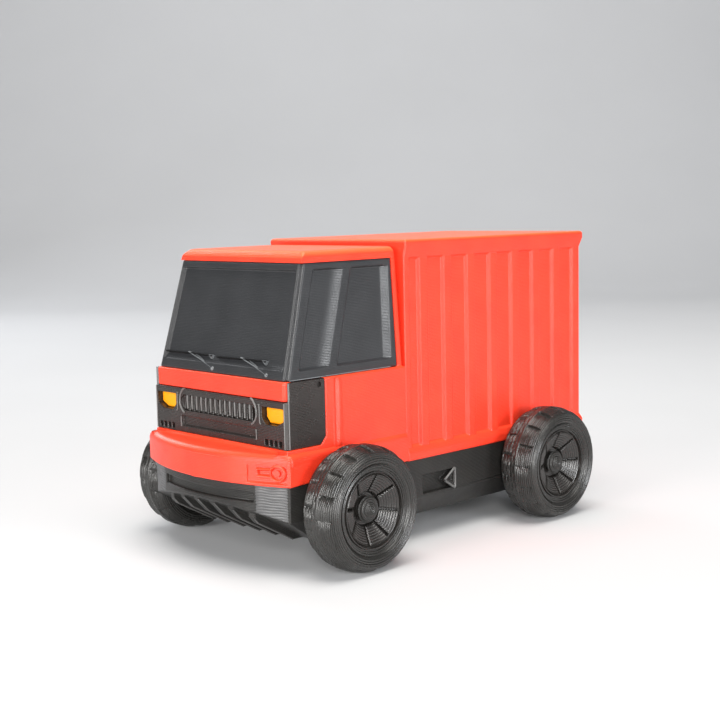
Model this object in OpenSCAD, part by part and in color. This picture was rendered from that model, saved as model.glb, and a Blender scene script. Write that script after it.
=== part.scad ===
// Toy delivery truck, printed in plastic: a cab and a ribbed container box
// on a chassis with four wheels on push-in pins. The truck faces -Y, +Z is
// up, and the origin is on the floor under the middle of the truck.
// "Left" is the driver's left, which is +X.

/* [Wheels] */
// Diameter over the tread
tyre_d = 19.7; // [18.8:0.1:20.4]
// Width of a tyre over its side walls
tyre_w = 7.1; // [6.2:0.1:7.4]
// Width of the rounding of a tyre's shoulder
shoulder_w = 3.1; // [2:0.1:3.2]
// Height of the rounding of a tyre's shoulder
shoulder_h = 1.6; // [1:0.1:2.2]
// Bore of a tyre, which its rim fills
rim_d = 12; // [11.4:0.1:13]
// Gap between a tyre and the side of the bumper skirt
tyre_gap = 0.5; // [0.4:0.1:1.2]
// Tread notches round each shoulder
notch_count = 16; // [12:1:18]
// Length of a tread notch round the tyre
notch_len = 2; // [1.4:0.1:2.2]
// Depth of a tread notch below the tread
notch_depth = 0.5; // [0.2:0.05:1]
// Width of the tyre's hollow lip beside the rim
lip_w = 1.3; // [0.4:0.1:1.6]
// Depth of that lip
lip_depth = 0.8; // [0.4:0.1:1.8]
// Plain band between the notches of the two shoulders
crown_w = 2.4; // [1.6:0.1:3]
// How far a rim's face lies inside the tyre's side wall
rim_inset = 0.5; // [0.3:0.1:1.8]
// Fall of the rim's dished face from its edge to the hub
dish_fall = 2.2; // [0.8:0.1:2.6]
// Slots that divide the rim's face into pads
slot_count = 8; // [6:1:9]
// Width of a rim slot
slot_w = 0.55; // [0.4:0.05:0.8]
// Depth of a rim slot
slot_depth = 0.9; // [0.5:0.1:1.2]
// Diameter of the rim's hub boss
hub_d = 5; // [4.6:0.1:5.4]
// Diameter of a wheel pin, and of the press-fit bore in the chassis
pin_d = 3; // [2.4:0.1:3.2]
// Radial play of a rim on its pin
pin_play = 0.08; // [0.05:0.01:0.1]
// Diameter of a wheel pin's domed head
pin_head_d = 4.2; // [3.9:0.1:4.4]
// Height of a wheel pin's domed head
pin_head_h = 0.9; // [0.7:0.1:1]
// End play between a rim and what is on either side of it
end_play = 0.35; // [0.3:0.05:0.5]
// Length of a wheel pin inside the chassis
pin_grip = 6; // [4:0.5:8]

/* [Chassis] */
// Distance between the axles
wheelbase = 46; // [44:0.5:48]
// Grille face to the front axle
axle_setback = 10.5; // [10.1:0.1:11.5]
// Width over the side sills
sill_w = 32.6; // [31:0.1:33]
// Axle centre up to the deck
deck_rise = 4.05; // [3.8:0.05:4.6]
// Axle centre down to the flat underside
keel_drop = 5.95; // [5:0.05:6.6]
// Height of the sloped lower edge of a sill
bilge_h = 3.5; // [2.5:0.1:4]
// Inward run of the sloped lower edge of a sill
bilge_run = 2.5; // [1.5:0.1:3]
// Width of the front skid
skid_w = 34.4; // [33:0.1:34.8]
// How far the skid's face is set back under the bumper
skid_setback = 0.9; // [0.5:0.1:1.5]
// Length of the full-width skid behind the grille face
skid_len = 4.2; // [3:0.1:5]
// Fall of the skid's underside for each millimetre of length
skid_slope = 0.58; // [0.5:0.01:0.7]
// Height of the skid's corners above the underside
skid_rise = 4.55; // [3.6:0.05:5]
// Length of the slot across the skid's face
skid_slot_w = 22.4; // [16:0.2:24]
// Height of that slot
skid_slot_h = 1.4; // [1:0.1:1.8]
// Top of the deck down to that slot
skid_slot_drop = 1.1; // [0.8:0.1:1.5]
// Depth of the slot and of the grooves under the skid
skid_relief = 0.6; // [0.3:0.1:0.9]
// Height of the ribs under the skid, at its corners
skid_rib_drop = 1.3; // [0.8:0.1:1.6]
// Ribs under the skid
skid_ribs = 6; // [4:1:7]
// Spacing of those ribs
skid_rib_pitch = 4.1; // [3.6:0.1:4.2]
// Width of those ribs
skid_rib_w = 1.2; // [0.8:0.1:1.8]
// Thickness of the deck over the bays
deck_t = 1.8; // [1.2:0.1:2.4]
// Width of the walls at the bays' lower rim
bay_wall = 2; // [1.4:0.1:3]
// Length of the solid block round each axle
axle_block = 14; // [11:0.5:16]
// Width of the beam between the two bays
mid_beam = 5; // [4.2:0.1:7]
// Rear end of the container back to the chassis end
tail_setback = 0.7; // [0.3:0.1:2]
// Length of the pocket in a sill
pocket_len = 7.9; // [6:0.1:9]
// Height of the pocket in a sill
pocket_h = 3.2; // [2.4:0.1:3.4]
// Depth of the pocket in a sill
pocket_depth = 1.3; // [0.8:0.1:1.8]
// Front of the container to the pocket
pocket_setback = 3.8; // [2:0.1:6]
// Length of the arrow at the pocket's rear end
arrow_len = 2.7; // [2.4:0.1:4]
// Width of the arrow's raised rim
arrow_rim = 0.45; // [0.3:0.05:0.6]
// Depth of the arrow's middle below its rim
arrow_dish = 0.5; // [0.3:0.1:0.8]

/* [Cab] */
// Grille face to the cab's rear face
cab_len = 25.3; // [24:0.1:27]
// Width over the doors
cab_w = 34; // [33.6:0.1:34.4]
// Width over the grille insert
grille_w = 33.6; // [33:0.1:33.8]
// Grille face back to the step in front of the door
door_setback = 9.8; // [9.2:0.1:10.4]
// Seat of the cab above the deck
cab_seat = 0.3; // [0.1:0.1:0.6]
// Height of the bumper
bumper_h = 4.8; // [4:0.1:5]
// Width over the bumper's corners
bumper_w = 36.2; // [35.2:0.1:36.6]
// How far the bumper's corners stand ahead of the grille face
bumper_proud = 0.6; // [0.3:0.1:1]
// How much further the middle of the bumper stands ahead
bumper_bow = 4.2; // [3:0.1:5]
// Width over the skirt behind the bumper's corners
skirt_w = 34.8; // [34.4:0.1:35.2]
// Length of the bumper's side, from its corner to the skirt
bumper_return = 5; // [4:0.1:6]
// Radius of the rounded edge on top of the bumper
crest_r = 0.9; // [0.5:0.1:1.5]
// Deck up to the belt line under the windows
belt_rise = 15.9; // [15:0.1:17]
// Height of the red band below the windscreen
band_h = 3; // [2.4:0.1:3.4]
// Height of the windows' opening
window_h = 17.5; // [16.6:0.1:18.4]
// Width over the windows at the belt line
belt_w = 32.6; // [32:0.1:33]
// Width over the windows under the roof
eaves_w = 30.4; // [29.6:0.1:31]
// Belt line's front edge behind the grille face
screen_setback = 0.5; // [0.2:0.1:1]
// Backward lean of the windscreen over its height
screen_lean = 4.7; // [3.8:0.1:5.4]
// Height of the roof
roof_h = 1.8; // [1.4:0.1:2.2]
// Width of the slopes round the roof's top
roof_chamfer = 0.8; // [0.5:0.1:1.1]
// Width of the pillar behind the side windows
pillar_w = 1.1; // [0.8:0.1:2]
// Wall of the cab behind its inserts
cab_wall = 1.3; // [1:0.1:1.6]

/* [Inserts] */
// Thickness of the window insert
glass_t = 1.5; // [1.2:0.1:1.7]
// Depth of a window pane below its frame
pane_depth = 0.45; // [0.3:0.05:0.6]
// Width of a window frame
frame_w = 0.9; // [0.7:0.1:1.2]
// Height of the band below the windscreen's pane
pane_sill = 1.5; // [0.8:0.1:2]
// Width of the post between the side windows
post_w = 1.7; // [1.2:0.1:2.4]
// Width of the front side window
quarter_w = 6; // [5:0.1:6.6]
// Width of a wiper arm or blade
wiper_w = 0.4; // [0.3:0.05:0.6]
// How far the wipers stand out of the windscreen's frame
wiper_rise = 0.2; // [0.1:0.05:0.3]
// Length of a wiper blade
blade_len = 12.3; // [10:0.1:12.8]
// Thickness of the grille insert's front
grille_t = 1.8; // [1.6:0.1:2.2]
// Thickness of the grille insert's sides
grille_side_t = 1.5; // [1.2:0.1:1.6]
// Length of the grille insert's sides behind its face
grille_side_len = 7.9; // [6:0.1:8.6]
// Slats in the grille
slat_count = 14; // [10:1:15]
// Spacing of the slats
slat_pitch = 1.23; // [1.1:0.01:1.3]
// Width of a slat
slat_w = 0.7; // [0.5:0.05:0.8]
// Height of the slats
slat_h = 2.6; // [2:0.1:3]
// Depth of the gaps between the slats
slat_depth = 1; // [0.6:0.1:1.2]
// Width of a headlight
lamp_w = 5.1; // [4:0.1:5.4]
// Height of a headlight
lamp_h = 2.65; // [2:0.05:3]
// Outer side of the insert to a headlight
lamp_side = 0.7; // [0.6:0.1:1.2]
// How far a headlight is set into its opening
lamp_inset = 0.9; // [0.4:0.1:1.2]

/* [Container] */
// Length of the container
box_len = 47.2; // [44:0.1:50]
// Width over the container's rails
box_w = 33.6; // [33:0.1:34.4]
// Height of the container
box_h = 36.2; // [35.4:0.1:40]
// Gap between cab and container
body_gap = 0.7; // [0.4:0.1:1.2]
// How far the rails stand outside the posts
rail_step = 0.47; // [0.3:0.01:0.6]
// Height of the rails' upright edge
rail_h = 1.25; // [1:0.05:1.6]
// Height of the slope between a rail and the posts
rail_slope = 1.6; // [1.2:0.1:2]
// Height of the slope above the bottom rail
toe_slope = 0.9; // [0.6:0.1:1.4]
// Depth of the wall panels below the posts
panel_depth = 0.48; // [0.3:0.01:0.6]
// Panels along each side
panel_count = 8; // [6:1:9]
// Width of a rib between two panels, at its top
rib_w = 1.7; // [1.2:0.1:2.4]
// Slope of a rib's flank, measured along the wall
rib_flank = 0.35; // [0.2:0.05:0.6]
// Width of the front posts
front_post = 1.2; // [1:0.1:2]
// Width of the rear posts
rear_post = 2.4; // [2:0.1:3]
// Thinnest wall, at the panels
box_wall = 1.2; // [1:0.1:1.6]
// Thickness of the container's floor
floor_t = 1.8; // [1.4:0.1:2.4]
// Height of the header over the doors
header_h = 2.7; // [2.4:0.1:3.4]

/* [Doors] */
// Thickness of a door
door_t = 1.6; // [1.4:0.1:2]
// How far the doors lie inside the rear posts
door_inset = 0.5; // [0.4:0.1:1]
// Gap round the doors
door_gap = 0.35; // [0.3:0.05:0.5]
// Diameter of a door's hinge edge
barrel_d = 2.4; // [2.2:0.1:2.6]
// Diameter of a door's hinge pin
door_pin_d = 1.4; // [1.2:0.1:1.6]
// Radial play of a hinge pin in the container
door_pin_play = 0.08; // [0.05:0.01:0.1]
// Depth of a hinge pin's hole in the header
door_pin_top = 1.4; // [1:0.1:1.8]
// Width of a door's lock rods
rod_w = 0.9; // [0.6:0.1:1.2]
// Height of the relief on the doors
door_relief = 0.35; // [0.2:0.05:0.4]

/* [Hidden] */
$fn = 64;
eps = 0.01;
far = 200;

// Places along the truck, with the middle of its length at y = 0
truck_len = bumper_proud + bumper_bow + cab_len + body_gap + box_len;
nose_y = -truck_len / 2;
face_y = nose_y + bumper_bow + bumper_proud;
cab_rear = face_y + cab_len;
box_front = cab_rear + body_gap;
box_rear = box_front + box_len;
tail_y = box_rear - tail_setback;
axle_front = face_y + axle_setback;
axle_rear = axle_front + wheelbase;
door_step_y = face_y + door_setback;
glass_rear = cab_rear - pillar_w;
beam_y = (axle_front + axle_rear) / 2;

// Heights above the floor
axle_z = tyre_d / 2;
deck_z = axle_z + deck_rise;
keel_z = axle_z - keel_drop;
cab_z = deck_z + cab_seat;
ledge_z = cab_z + bumper_h;
belt_z = deck_z + belt_rise;
band_z = belt_z - band_h;
eaves_z = belt_z + window_h;
roof_z = eaves_z + roof_h;
box_z = deck_z;
box_top = box_z + box_h;

// Curve of the bumper, seen from above
bow_r = (pow(bumper_w / 2, 2) + pow(bumper_bow, 2)) / (2 * bumper_bow);
bow_y = nose_y + bow_r;
grille_bottom = ledge_z + 0.6;
lamp_ring_x = bumper_w / 2 - 2.1;
fog_depth = 0.3;
band_w = grille_w - 1;
band_back = 0.7;

// Wheels, measured outward from the middle of the truck
tyre_in = skirt_w / 2 + tyre_gap;
tyre_out = tyre_in + tyre_w;
rim_face = tyre_out - rim_inset;
boss_h = 0.7;
hub_in = sill_w / 2 + boss_h + end_play;
hub_face = rim_face - dish_fall + 0.3;
notch_r = tyre_d / 2 - notch_depth;

// Container: planes of posts and panels, and its inside
post_x = box_w / 2 - rail_step;
panel_x = post_x - panel_depth;
post_back = box_rear - rail_step;
panel_z0 = box_z + rail_h + toe_slope;
panel_z1 = box_top - rail_h - rail_slope;
inside_x = panel_x - box_wall;
inside_z0 = box_z + floor_t;
door_stop = 1;
door_drop = 0.2;
inside_z1 = box_top - 1.4;
panel_lap = 1.6;
panels_rear = box_rear - rear_post;
panels_len = panels_rear - box_front - front_post;
panel_pitch = (panels_len + rib_w + panel_lap) / panel_count;

// Doors: hinge axis and the leaf between its edges
hinge_x = inside_x - barrel_d / 2 - door_gap;
hinge_y = post_back - door_inset - door_t / 2;
stop_y = hinge_y - door_t / 2 - door_gap - door_stop;
door_z0 = inside_z0 + door_gap;
door_z1 = box_top - header_h - door_gap;
handle_w = 6;
handle_h = 1;
handle_rise = 9;
handle_z = door_z0 + handle_rise;

// Pegs under the cab and the container, square, in sockets of the deck
peg_w = 3;
peg_h = 1.6;
peg_web = 3;
peg_fore = 3;
peg_aft = 9.8;
box_peg_aft = 2;
tail_cut = 3;
boss_wall = 1.5;
peg_x = sill_w / 2 - 7.3;
fit = 0.05;

// ---- helpers ----

// Extrudes a y-z outline across the truck, centred on x = 0
module across(width) {
    rotate([90, 0, 90]) linear_extrude(width, center = true) children();
}

// Extrudes an x-z outline along the truck, from y0 to y1
module along(y0, y1) {
    translate([0, y1, 0]) rotate([90, 0, 0]) linear_extrude(y1 - y0) children();
}

// Extrudes an x-y outline upward, from z0 to z1
module up(z0, z1) {
    translate([0, 0, z0]) linear_extrude(z1 - z0) children();
}

// A box between two corners
module block(a, b) {
    translate(a) cube(b - a);
}

// Both sides of the truck
module both() {
    children();
    mirror([1, 0, 0]) children();
}

// Square pegs at two stations along the truck
module pegs(stations, size, z0, z1) {
    for (y = stations, s = [-1, 1])
        block([s * peg_x - size / 2, y - size / 2, z0],
              [s * peg_x + size / 2, y + size / 2, z1]);
}
cab_pegs = [axle_front - peg_fore, cab_rear - peg_aft];
box_pegs = [beam_y, axle_rear + box_peg_aft];

// Plan of a bowed front: the bow's circle cut to a width, back to y1
module bow_plan(inset, width, y1) {
    intersection() {
        translate([0, bow_y]) circle(r = bow_r - inset, $fn = 180);
        translate([-width / 2, nose_y]) square([width, y1 - nose_y]);
    }
}

// ---- chassis ----

module chassis_side() {
    corner_y = bow_y - sqrt(pow(bow_r - skid_setback, 2) - pow(skid_w / 2, 2));
    slope_len = (skid_rise) / skid_slope;
    nose_z = keel_z + skid_rise + skid_slope * (corner_y - nose_y);
    polygon([[nose_y, deck_z], [nose_y, nose_z],
             [corner_y + slope_len, keel_z], [tail_y - tail_cut, keel_z],
             [tail_y, keel_z + tail_cut], [tail_y, deck_z]]);
}

module chassis_front(w) {
    polygon([[-w / 2, deck_z], [-w / 2, keel_z + bilge_h + (w - sill_w) / 2 * bilge_h / bilge_run],
             [-sill_w / 2 + bilge_run, keel_z], [sill_w / 2 - bilge_run, keel_z],
             [w / 2, keel_z + bilge_h + (w - sill_w) / 2 * bilge_h / bilge_run], [w / 2, deck_z]]);
}

// Ribs under the skid, which stand below its slope and run back to the keel
module skid_keels() {
    corner_y = bow_y - sqrt(pow(bow_r - skid_setback, 2) - pow(skid_w / 2, 2));
    z = keel_z + skid_rise;
    a = skid_rib_drop * 2.8;
    b = skid_rib_drop * 0.85;
    c = skid_rise / skid_slope;
    intersection() {
        for (i = [0 : skid_ribs - 1])
            translate([(i - (skid_ribs - 1) / 2) * skid_rib_pitch, 0, 0])
                across(skid_rib_w) polygon([[nose_y, deck_z - 1], [nose_y, z + (corner_y - nose_y) * skid_slope],
                    [corner_y - a, z + a * skid_slope],
                    [corner_y - b, z + b * skid_slope - skid_rib_drop],
                    [corner_y + c - 2, keel_z], [corner_y + c, keel_z], [corner_y + c, deck_z - 1]]);
        up(keel_z, deck_z) bow_plan(skid_setback + skid_relief, skid_w, 0);
    }
}

// Pocket in the left sill, with the arrow left standing in it
module sill_pocket() {
    y0 = box_front + pocket_setback;
    y1 = y0 + pocket_len;
    mid_z = keel_z + bilge_h + 0.4 + pocket_h / 2;
    x0 = sill_w / 2 - pocket_depth;
    difference() {
        block([x0, y0, mid_z - pocket_h / 2], [sill_w / 2 + 1, y1, mid_z + pocket_h / 2]);
        translate([x0, 0, 0]) rotate([90, 0, 90]) linear_extrude(pocket_depth)
            polygon([[y1, mid_z - pocket_h / 2], [y1, mid_z + pocket_h / 2],
                     [y1 - arrow_len, mid_z]]);
    }
    translate([sill_w / 2 - arrow_dish, 0, 0]) rotate([90, 0, 90])
        linear_extrude(pocket_depth)
            polygon([[y1 - arrow_rim, mid_z - pocket_h / 2 + 2 * arrow_rim],
                     [y1 - arrow_rim, mid_z + pocket_h / 2 - 2 * arrow_rim],
                     [y1 - arrow_len + 2.2 * arrow_rim, mid_z]]);
}

// Open bays under the deck, between the axle blocks
module bays() {
    half = sill_w / 2 - bilge_run - bay_wall;
    y0 = axle_front + axle_block / 2;
    y1 = axle_rear - axle_block / 2;
    for (b = [[y0, beam_y - mid_beam / 2], [beam_y + mid_beam / 2, y1]])
        block([-half, b[0], keel_z - 1], [half, b[1], deck_z - deck_t]);
}

module chassis() {
    color("#2b2a29") {
        difference() {
            union() {
                intersection() {
                    up(keel_z, deck_z) translate([-sill_w / 2, face_y])
                        square([sill_w, tail_y - face_y]);
                    across(far) chassis_side();
                    along(nose_y, tail_y) chassis_front(sill_w);
                }
                intersection() {
                    up(keel_z, deck_z) bow_plan(skid_setback, skid_w, face_y + skid_len);
                    across(far) chassis_side();
                    along(nose_y, tail_y) chassis_front(skid_w);
                }
                for (y = [axle_front, axle_rear])
                    translate([-sill_w / 2 - boss_h, y, axle_z]) rotate([0, 90, 0])
                        cylinder(d = pin_d + 2 * boss_wall, h = sill_w + 2 * boss_h);
                block([-sill_w / 2, face_y, deck_z - eps], [sill_w / 2, cab_rear, cab_z]);
                up(deck_z - eps, cab_z) bow_plan(skid_setback, skid_w, face_y + skid_len);
                skid_keels();
            }
            both() sill_pocket();
            bays();
            intersection() {
                block([-skid_slot_w / 2, nose_y - 1, deck_z - skid_slot_drop - skid_slot_h],
                      [skid_slot_w / 2, face_y, deck_z - skid_slot_drop]);
                difference() {
                    up(keel_z, deck_z) translate([-far / 2, nose_y - 1])
                        square([far, far]);
                    up(keel_z - 1, deck_z + 1)
                        bow_plan(skid_setback + skid_relief, far, face_y + skid_len);
                }
            }
            both() for (y = [axle_front, axle_rear])
                translate([sill_w / 2 + boss_h - pin_grip, y, axle_z]) rotate([0, 90, 0])
                    cylinder(d = pin_d, h = pin_grip + 1);
            pegs(cab_pegs, peg_w + 2 * fit, cab_z - peg_h - 0.2, cab_z + 1);
            pegs(box_pegs, peg_w + 2 * fit, deck_z - peg_h - 0.2, deck_z + 1);
        }
    }
}

// ---- cab ----

// y-z outline of the space between the belt and the eaves, inset on all sides
module house_side(inset, z0, z1, rear) {
    lean = screen_lean / window_h;
    front = face_y + screen_setback + inset * sqrt(1 + lean * lean);
    polygon([[front + lean * (z0 - belt_z), z0], [front + lean * (z1 - belt_z), z1],
             [rear, z1], [rear, z0]]);
}

// x-z outline of the same space
module house_front(inset, z0, z1) {
    lean = (belt_w - eaves_w) / 2 / window_h;
    half = belt_w / 2 - inset * sqrt(1 + lean * lean);
    polygon([[-half + lean * (z0 - belt_z), z0], [-half + lean * (z1 - belt_z), z1],
             [half - lean * (z1 - belt_z), z1], [half - lean * (z0 - belt_z), z0]]);
}

module house(inset, z0, z1, rear) {
    intersection() {
        across(far) house_side(inset, z0, z1, rear);
        along(nose_y, rear) house_front(inset, z0, z1);
    }
}

module roof() {
    front = face_y + screen_setback + screen_lean;
    half = eaves_w / 2;
    shoulder = roof_z - roof_chamfer * 0.75;
    intersection() {
        across(far) polygon([[front, eaves_z - eps], [front, eaves_z], [front + 0.4, shoulder],
            [front + 0.4 + roof_chamfer, roof_z], [cab_rear, roof_z], [cab_rear, eaves_z - eps]]);
        along(nose_y, cab_rear) polygon([[-half, eaves_z - eps], [-half, eaves_z],
            [-half + 0.15, shoulder], [-half + 0.15 + roof_chamfer, roof_z],
            [half - 0.15 - roof_chamfer, roof_z], [half - 0.15, shoulder],
            [half, eaves_z], [half, eaves_z - eps]]);
    }
}

module bumper_plan(inset) {
    corner_y = nose_y + bumper_bow;
    half = bumper_w / 2 - inset;
    intersection() {
        translate([0, bow_y]) circle(r = bow_r - inset, $fn = 180);
        polygon([[-half, nose_y], [half, nose_y], [half, corner_y],
                 [skirt_w / 2 - inset, corner_y + bumper_return], [skirt_w / 2 - inset, cab_rear],
                 [-skirt_w / 2 + inset, cab_rear], [-skirt_w / 2 + inset, corner_y + bumper_return],
                 [-half, corner_y]]);
    }
}

// Outlines of the fog lamp on the left of the bumper
module fog_lamp() {
    ring_x = lamp_ring_x;
    ring_d = 2.5;
    bar_len = 3.4;
    bar_h = 1.3;
    line = 0.32;
    z = cab_z + 2.1;
    along(nose_y - 1, face_y) {
        difference() {
            union() {
                translate([ring_x, z]) circle(d = ring_d);
                translate([ring_x - bar_len, z - bar_h / 2]) square([bar_len, bar_h]);
            }
            translate([ring_x, z]) circle(d = ring_d - 2 * line);
            translate([ring_x - bar_len + line, z - bar_h / 2 + line])
                square([bar_len - (ring_d + line) / 2, bar_h - 2 * line]);
        }
        translate([ring_x, z]) circle(d = ring_d * 0.4);
    }
}

// Shallow panel round the fog lamp
module fog_panel() {
    difference() {
        block([lamp_ring_x - 4.9, nose_y - 1, cab_z + 0.5],
              [lamp_ring_x + 1.55, face_y - bumper_proud, cab_z + 4]);
        up(cab_z - 1, ledge_z + 1) bow_plan(fog_depth, far, face_y);
        fog_lamp();
    }
}

// Room for the grille insert round the cab's front
module grille_room(gap) {
    side_in = grille_w / 2 - grille_side_t - gap;
    block([-far / 2, nose_y - 1, grille_bottom - gap],
          [far / 2, face_y + grille_t + gap, band_z + gap]);
    both() intersection() {
        translate([side_in, 0, 0]) rotate([90, 0, 90]) linear_extrude(far / 4) grille_side(gap);
        union() {
            block([side_in, face_y + grille_t, 0], [far, 0, far]);
            block([band_w / 2, face_y + band_back - gap, 0], [far, face_y + grille_t + 1, far]);
        }
    }
}

// y-z outline of the grille insert's side, with its cut lower corner
module grille_side(gap) {
    y1 = face_y + grille_side_len + gap;
    cut = 1.1;
    polygon([[nose_y - 1, grille_bottom - gap], [y1 - cut, grille_bottom - gap],
             [y1, grille_bottom - gap + 1.1 * cut], [y1, belt_z - fit + gap],
             [nose_y - 1, belt_z - fit + gap]]);
}

module cab_shell() {
    inner = grille_w / 2 - grille_side_t - cab_wall;
    color("#ee4a33") {
        difference() {
            union() {
                up(cab_z, ledge_z - crest_r) bumper_plan(0);
                for (a = [22.5 : 22.5 : 90])
                    up(ledge_z - crest_r * (1 - sin(a - 22.5)) - eps, ledge_z - crest_r * (1 - sin(a)))
                        bumper_plan(crest_r * (1 - cos(a)));
                // shelf behind the bumper's edge, up to the grille insert
                block([-grille_w / 2, face_y, ledge_z - 1],
                      [grille_w / 2, cab_rear, grille_bottom]);
                // front body with its rounded corners, and the doors
                up(ledge_z, belt_z) polygon([[-band_w / 2, face_y + 0.6],
                    [-band_w / 2 + 0.4, face_y + 0.2], [band_w / 2 - 0.4, face_y + 0.2],
                    [band_w / 2, face_y + 0.6], [band_w / 2, face_y + grille_t],
                    [grille_w / 2, face_y + grille_t], [grille_w / 2, cab_rear],
                    [-grille_w / 2, cab_rear], [-grille_w / 2, face_y + grille_t],
                    [-band_w / 2, face_y + grille_t]]);
                up(ledge_z - 0.4, belt_z) polygon([[-cab_w / 2, cab_rear], [-cab_w / 2, door_step_y + 0.5],
                    [-grille_w / 2, door_step_y - 0.5], [grille_w / 2, door_step_y - 0.5],
                    [cab_w / 2, door_step_y + 0.5], [cab_w / 2, cab_rear]]);
                house(glass_t, belt_z - eps, eaves_z, cab_rear);
                difference() {
                    house(0, belt_z - eps, eaves_z, cab_rear);
                    block([-far / 2, nose_y - 1, belt_z - 1], [far / 2, glass_rear, eaves_z + 1]);
                }
                roof();
                pegs(cab_pegs, peg_w, cab_z - peg_h, cab_z + peg_web);
            }
            difference() {
                grille_room(fit);
                block([-far / 2, face_y + grille_side_len + 2, 0], [far / 2, 0, far]);
            }
            // inside: lower body open below, then the house
            difference() {
                block([-inner, face_y + grille_t + cab_wall, cab_z - 1],
                      [inner, cab_rear - cab_wall, belt_z - cab_wall]);
                for (y = cab_pegs)
                    block([-inner - 1, y - peg_w / 2, cab_z - peg_h - 1],
                          [inner + 1, y + peg_w / 2, cab_z + peg_web]);
            }
            house(glass_t + cab_wall, belt_z - cab_wall - 0.5, eaves_z - 0.4, cab_rear - cab_wall);
            fog_panel();
        }
    }
}

// ---- window insert ----

// A straight bar between two points
module bar(a, b, w) {
    d = b - a;
    translate(a) rotate(atan2(d[1], d[0])) translate([0, -w / 2]) square([norm(d), w]);
}

// x-z outline of the two wipers, parked at the foot of the windscreen
module wipers() {
    pitch = blade_len + 1.2;
    for (i = [0, 1]) {
        x = -belt_w / 2 + 1.4 + i * pitch;
        z = belt_z + 2.6;
        pivot = [x + blade_len * 0.5 + 7, belt_z + 0.7];
        bar([x, z], [x + blade_len, z + 0.05], wiper_w);
        bar([x + blade_len * 0.5, z + 0.1], pivot, wiper_w);
        translate(pivot) circle(d = 2.2 * wiper_w);
    }
}

// x-z outline of the windscreen's pane
module screen_pane() {
    lean = (belt_w - eaves_w) / 2 / window_h;
    z1 = eaves_z - frame_w;
    z0 = belt_z + pane_sill;
    h0 = belt_w / 2 - frame_w - lean * pane_sill;
    h1 = h0 - lean * (z1 - z0);
    polygon([[-h0, z0], [h0, z0], [h1, z1], [-h1, z1]]);
}

// y-z outlines of the side panes, which lean with the windscreen
module side_panes() {
    lean = screen_lean / window_h;
    front = face_y + screen_setback;
    z0 = belt_z + frame_w;
    z1 = eaves_z - frame_w;
    f0 = lean * (z0 - belt_z);
    f1 = lean * (z1 - belt_z);
    a = front + 2.2 * frame_w;
    b = a + quarter_w;
    c = b + post_w;
    polygon([[a + f0, z0], [b + f0, z0], [b + f1, z1], [a + f1, z1]]);
    polygon([[c + f0, z0], [glass_rear - frame_w, z0], [glass_rear - frame_w, z1], [c + f1, z1]]);
}

module window_insert() {
    front = face_y + screen_lean + screen_setback + 2;
    color("#3a3c3e")
        difference() {
            union() {
                difference() {
                    house(0, belt_z + fit, eaves_z - fit, glass_rear - fit);
                    difference() {
                        union() {
                            along(nose_y, front) screen_pane();
                            across(far) side_panes();
                        }
                        house(pane_depth, belt_z - 2, eaves_z + 1, glass_rear + 1);
                    }
                }
                intersection() {
                    along(nose_y, front) wipers();
                    house(-wiper_rise, belt_z + fit, eaves_z - fit, glass_rear - fit);
                }
            }
            house(glass_t - fit, belt_z - 2, eaves_z + 1, glass_rear + 1);
        }
}

// ---- grille insert and headlights ----

// x-z outline of the left headlight, smaller by a gap
module lamp(gap) {
    x1 = grille_w / 2 - lamp_side - gap;
    x0 = grille_w / 2 - lamp_side - lamp_w + gap;
    mid = (band_z + grille_bottom) / 2 + 1.25;
    z0 = mid - lamp_h / 2 + gap;
    z1 = mid + lamp_h / 2 - gap;
    polygon([[x0, z0 + 0.9], [x0 + 0.9, z0], [x1 - 1.6, z0], [x1, z0 + 0.8], [x1, z1], [x0, z1]]);
}

module grille_insert() {
    slat_z = (band_z + grille_bottom) / 2 + 1.3;
    half = slat_count * slat_pitch / 2;
    c = 0.4;
    color("#2a2725")
        difference() {
            intersection() {
                up(grille_bottom, belt_z) polygon([[-grille_w / 2, face_y + c],
                    [-grille_w / 2 + c, face_y], [grille_w / 2 - c, face_y],
                    [grille_w / 2, face_y + c], [grille_w / 2, 0], [-grille_w / 2, 0]]);
                grille_room(0);
            }
            both() along(nose_y, face_y + grille_t + 1) lamp(0);
            // slats, set back in a shallow field
            along(nose_y, face_y + 0.4) polygon([[-half - 0.2, slat_z - slat_h / 2],
                [half + 0.2, slat_z - slat_h / 2], [half + 1, slat_z - slat_h / 2 + 0.9],
                [half + 1, slat_z + slat_h / 2 - 0.6], [half + 0.2, slat_z + slat_h / 2],
                [-half - 0.2, slat_z + slat_h / 2], [-half - 1, slat_z + slat_h / 2 - 0.6],
                [-half - 1, slat_z - slat_h / 2 + 0.9]]);
            for (i = [0 : slat_count])
                translate([(i - slat_count / 2) * slat_pitch - (slat_pitch - slat_w) / 2,
                           face_y - 1, slat_z - slat_h / 2])
                    cube([slat_pitch - slat_w, 1 + slat_depth + 0.4, slat_h]);
            // number panel and the corner vents
            block([-half - 0.9, nose_y, grille_bottom + 1.1],
                  [half + 0.9, face_y + 0.35, grille_bottom + 2.7]);
            both() for (i = [0 : 3])
                block([grille_w / 2 - 5.2 + i * 1.1, nose_y, grille_bottom + 0.35],
                      [grille_w / 2 - 4.5 + i * 1.1, face_y + 0.9, grille_bottom + 1.25]);
            // dimple near the top of each side
            for (s = [-1, 1])
                translate([s * grille_w / 2, face_y + grille_side_len - 1.2, belt_z - 0.9])
                    rotate([0, 90, 0]) cylinder(d = 0.9, h = 0.8, center = true);
        }
}

module headlight() {
    color("#f5b81c") along(face_y + lamp_inset, face_y + grille_t) lamp(fit);
}

// ---- container ----

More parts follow.
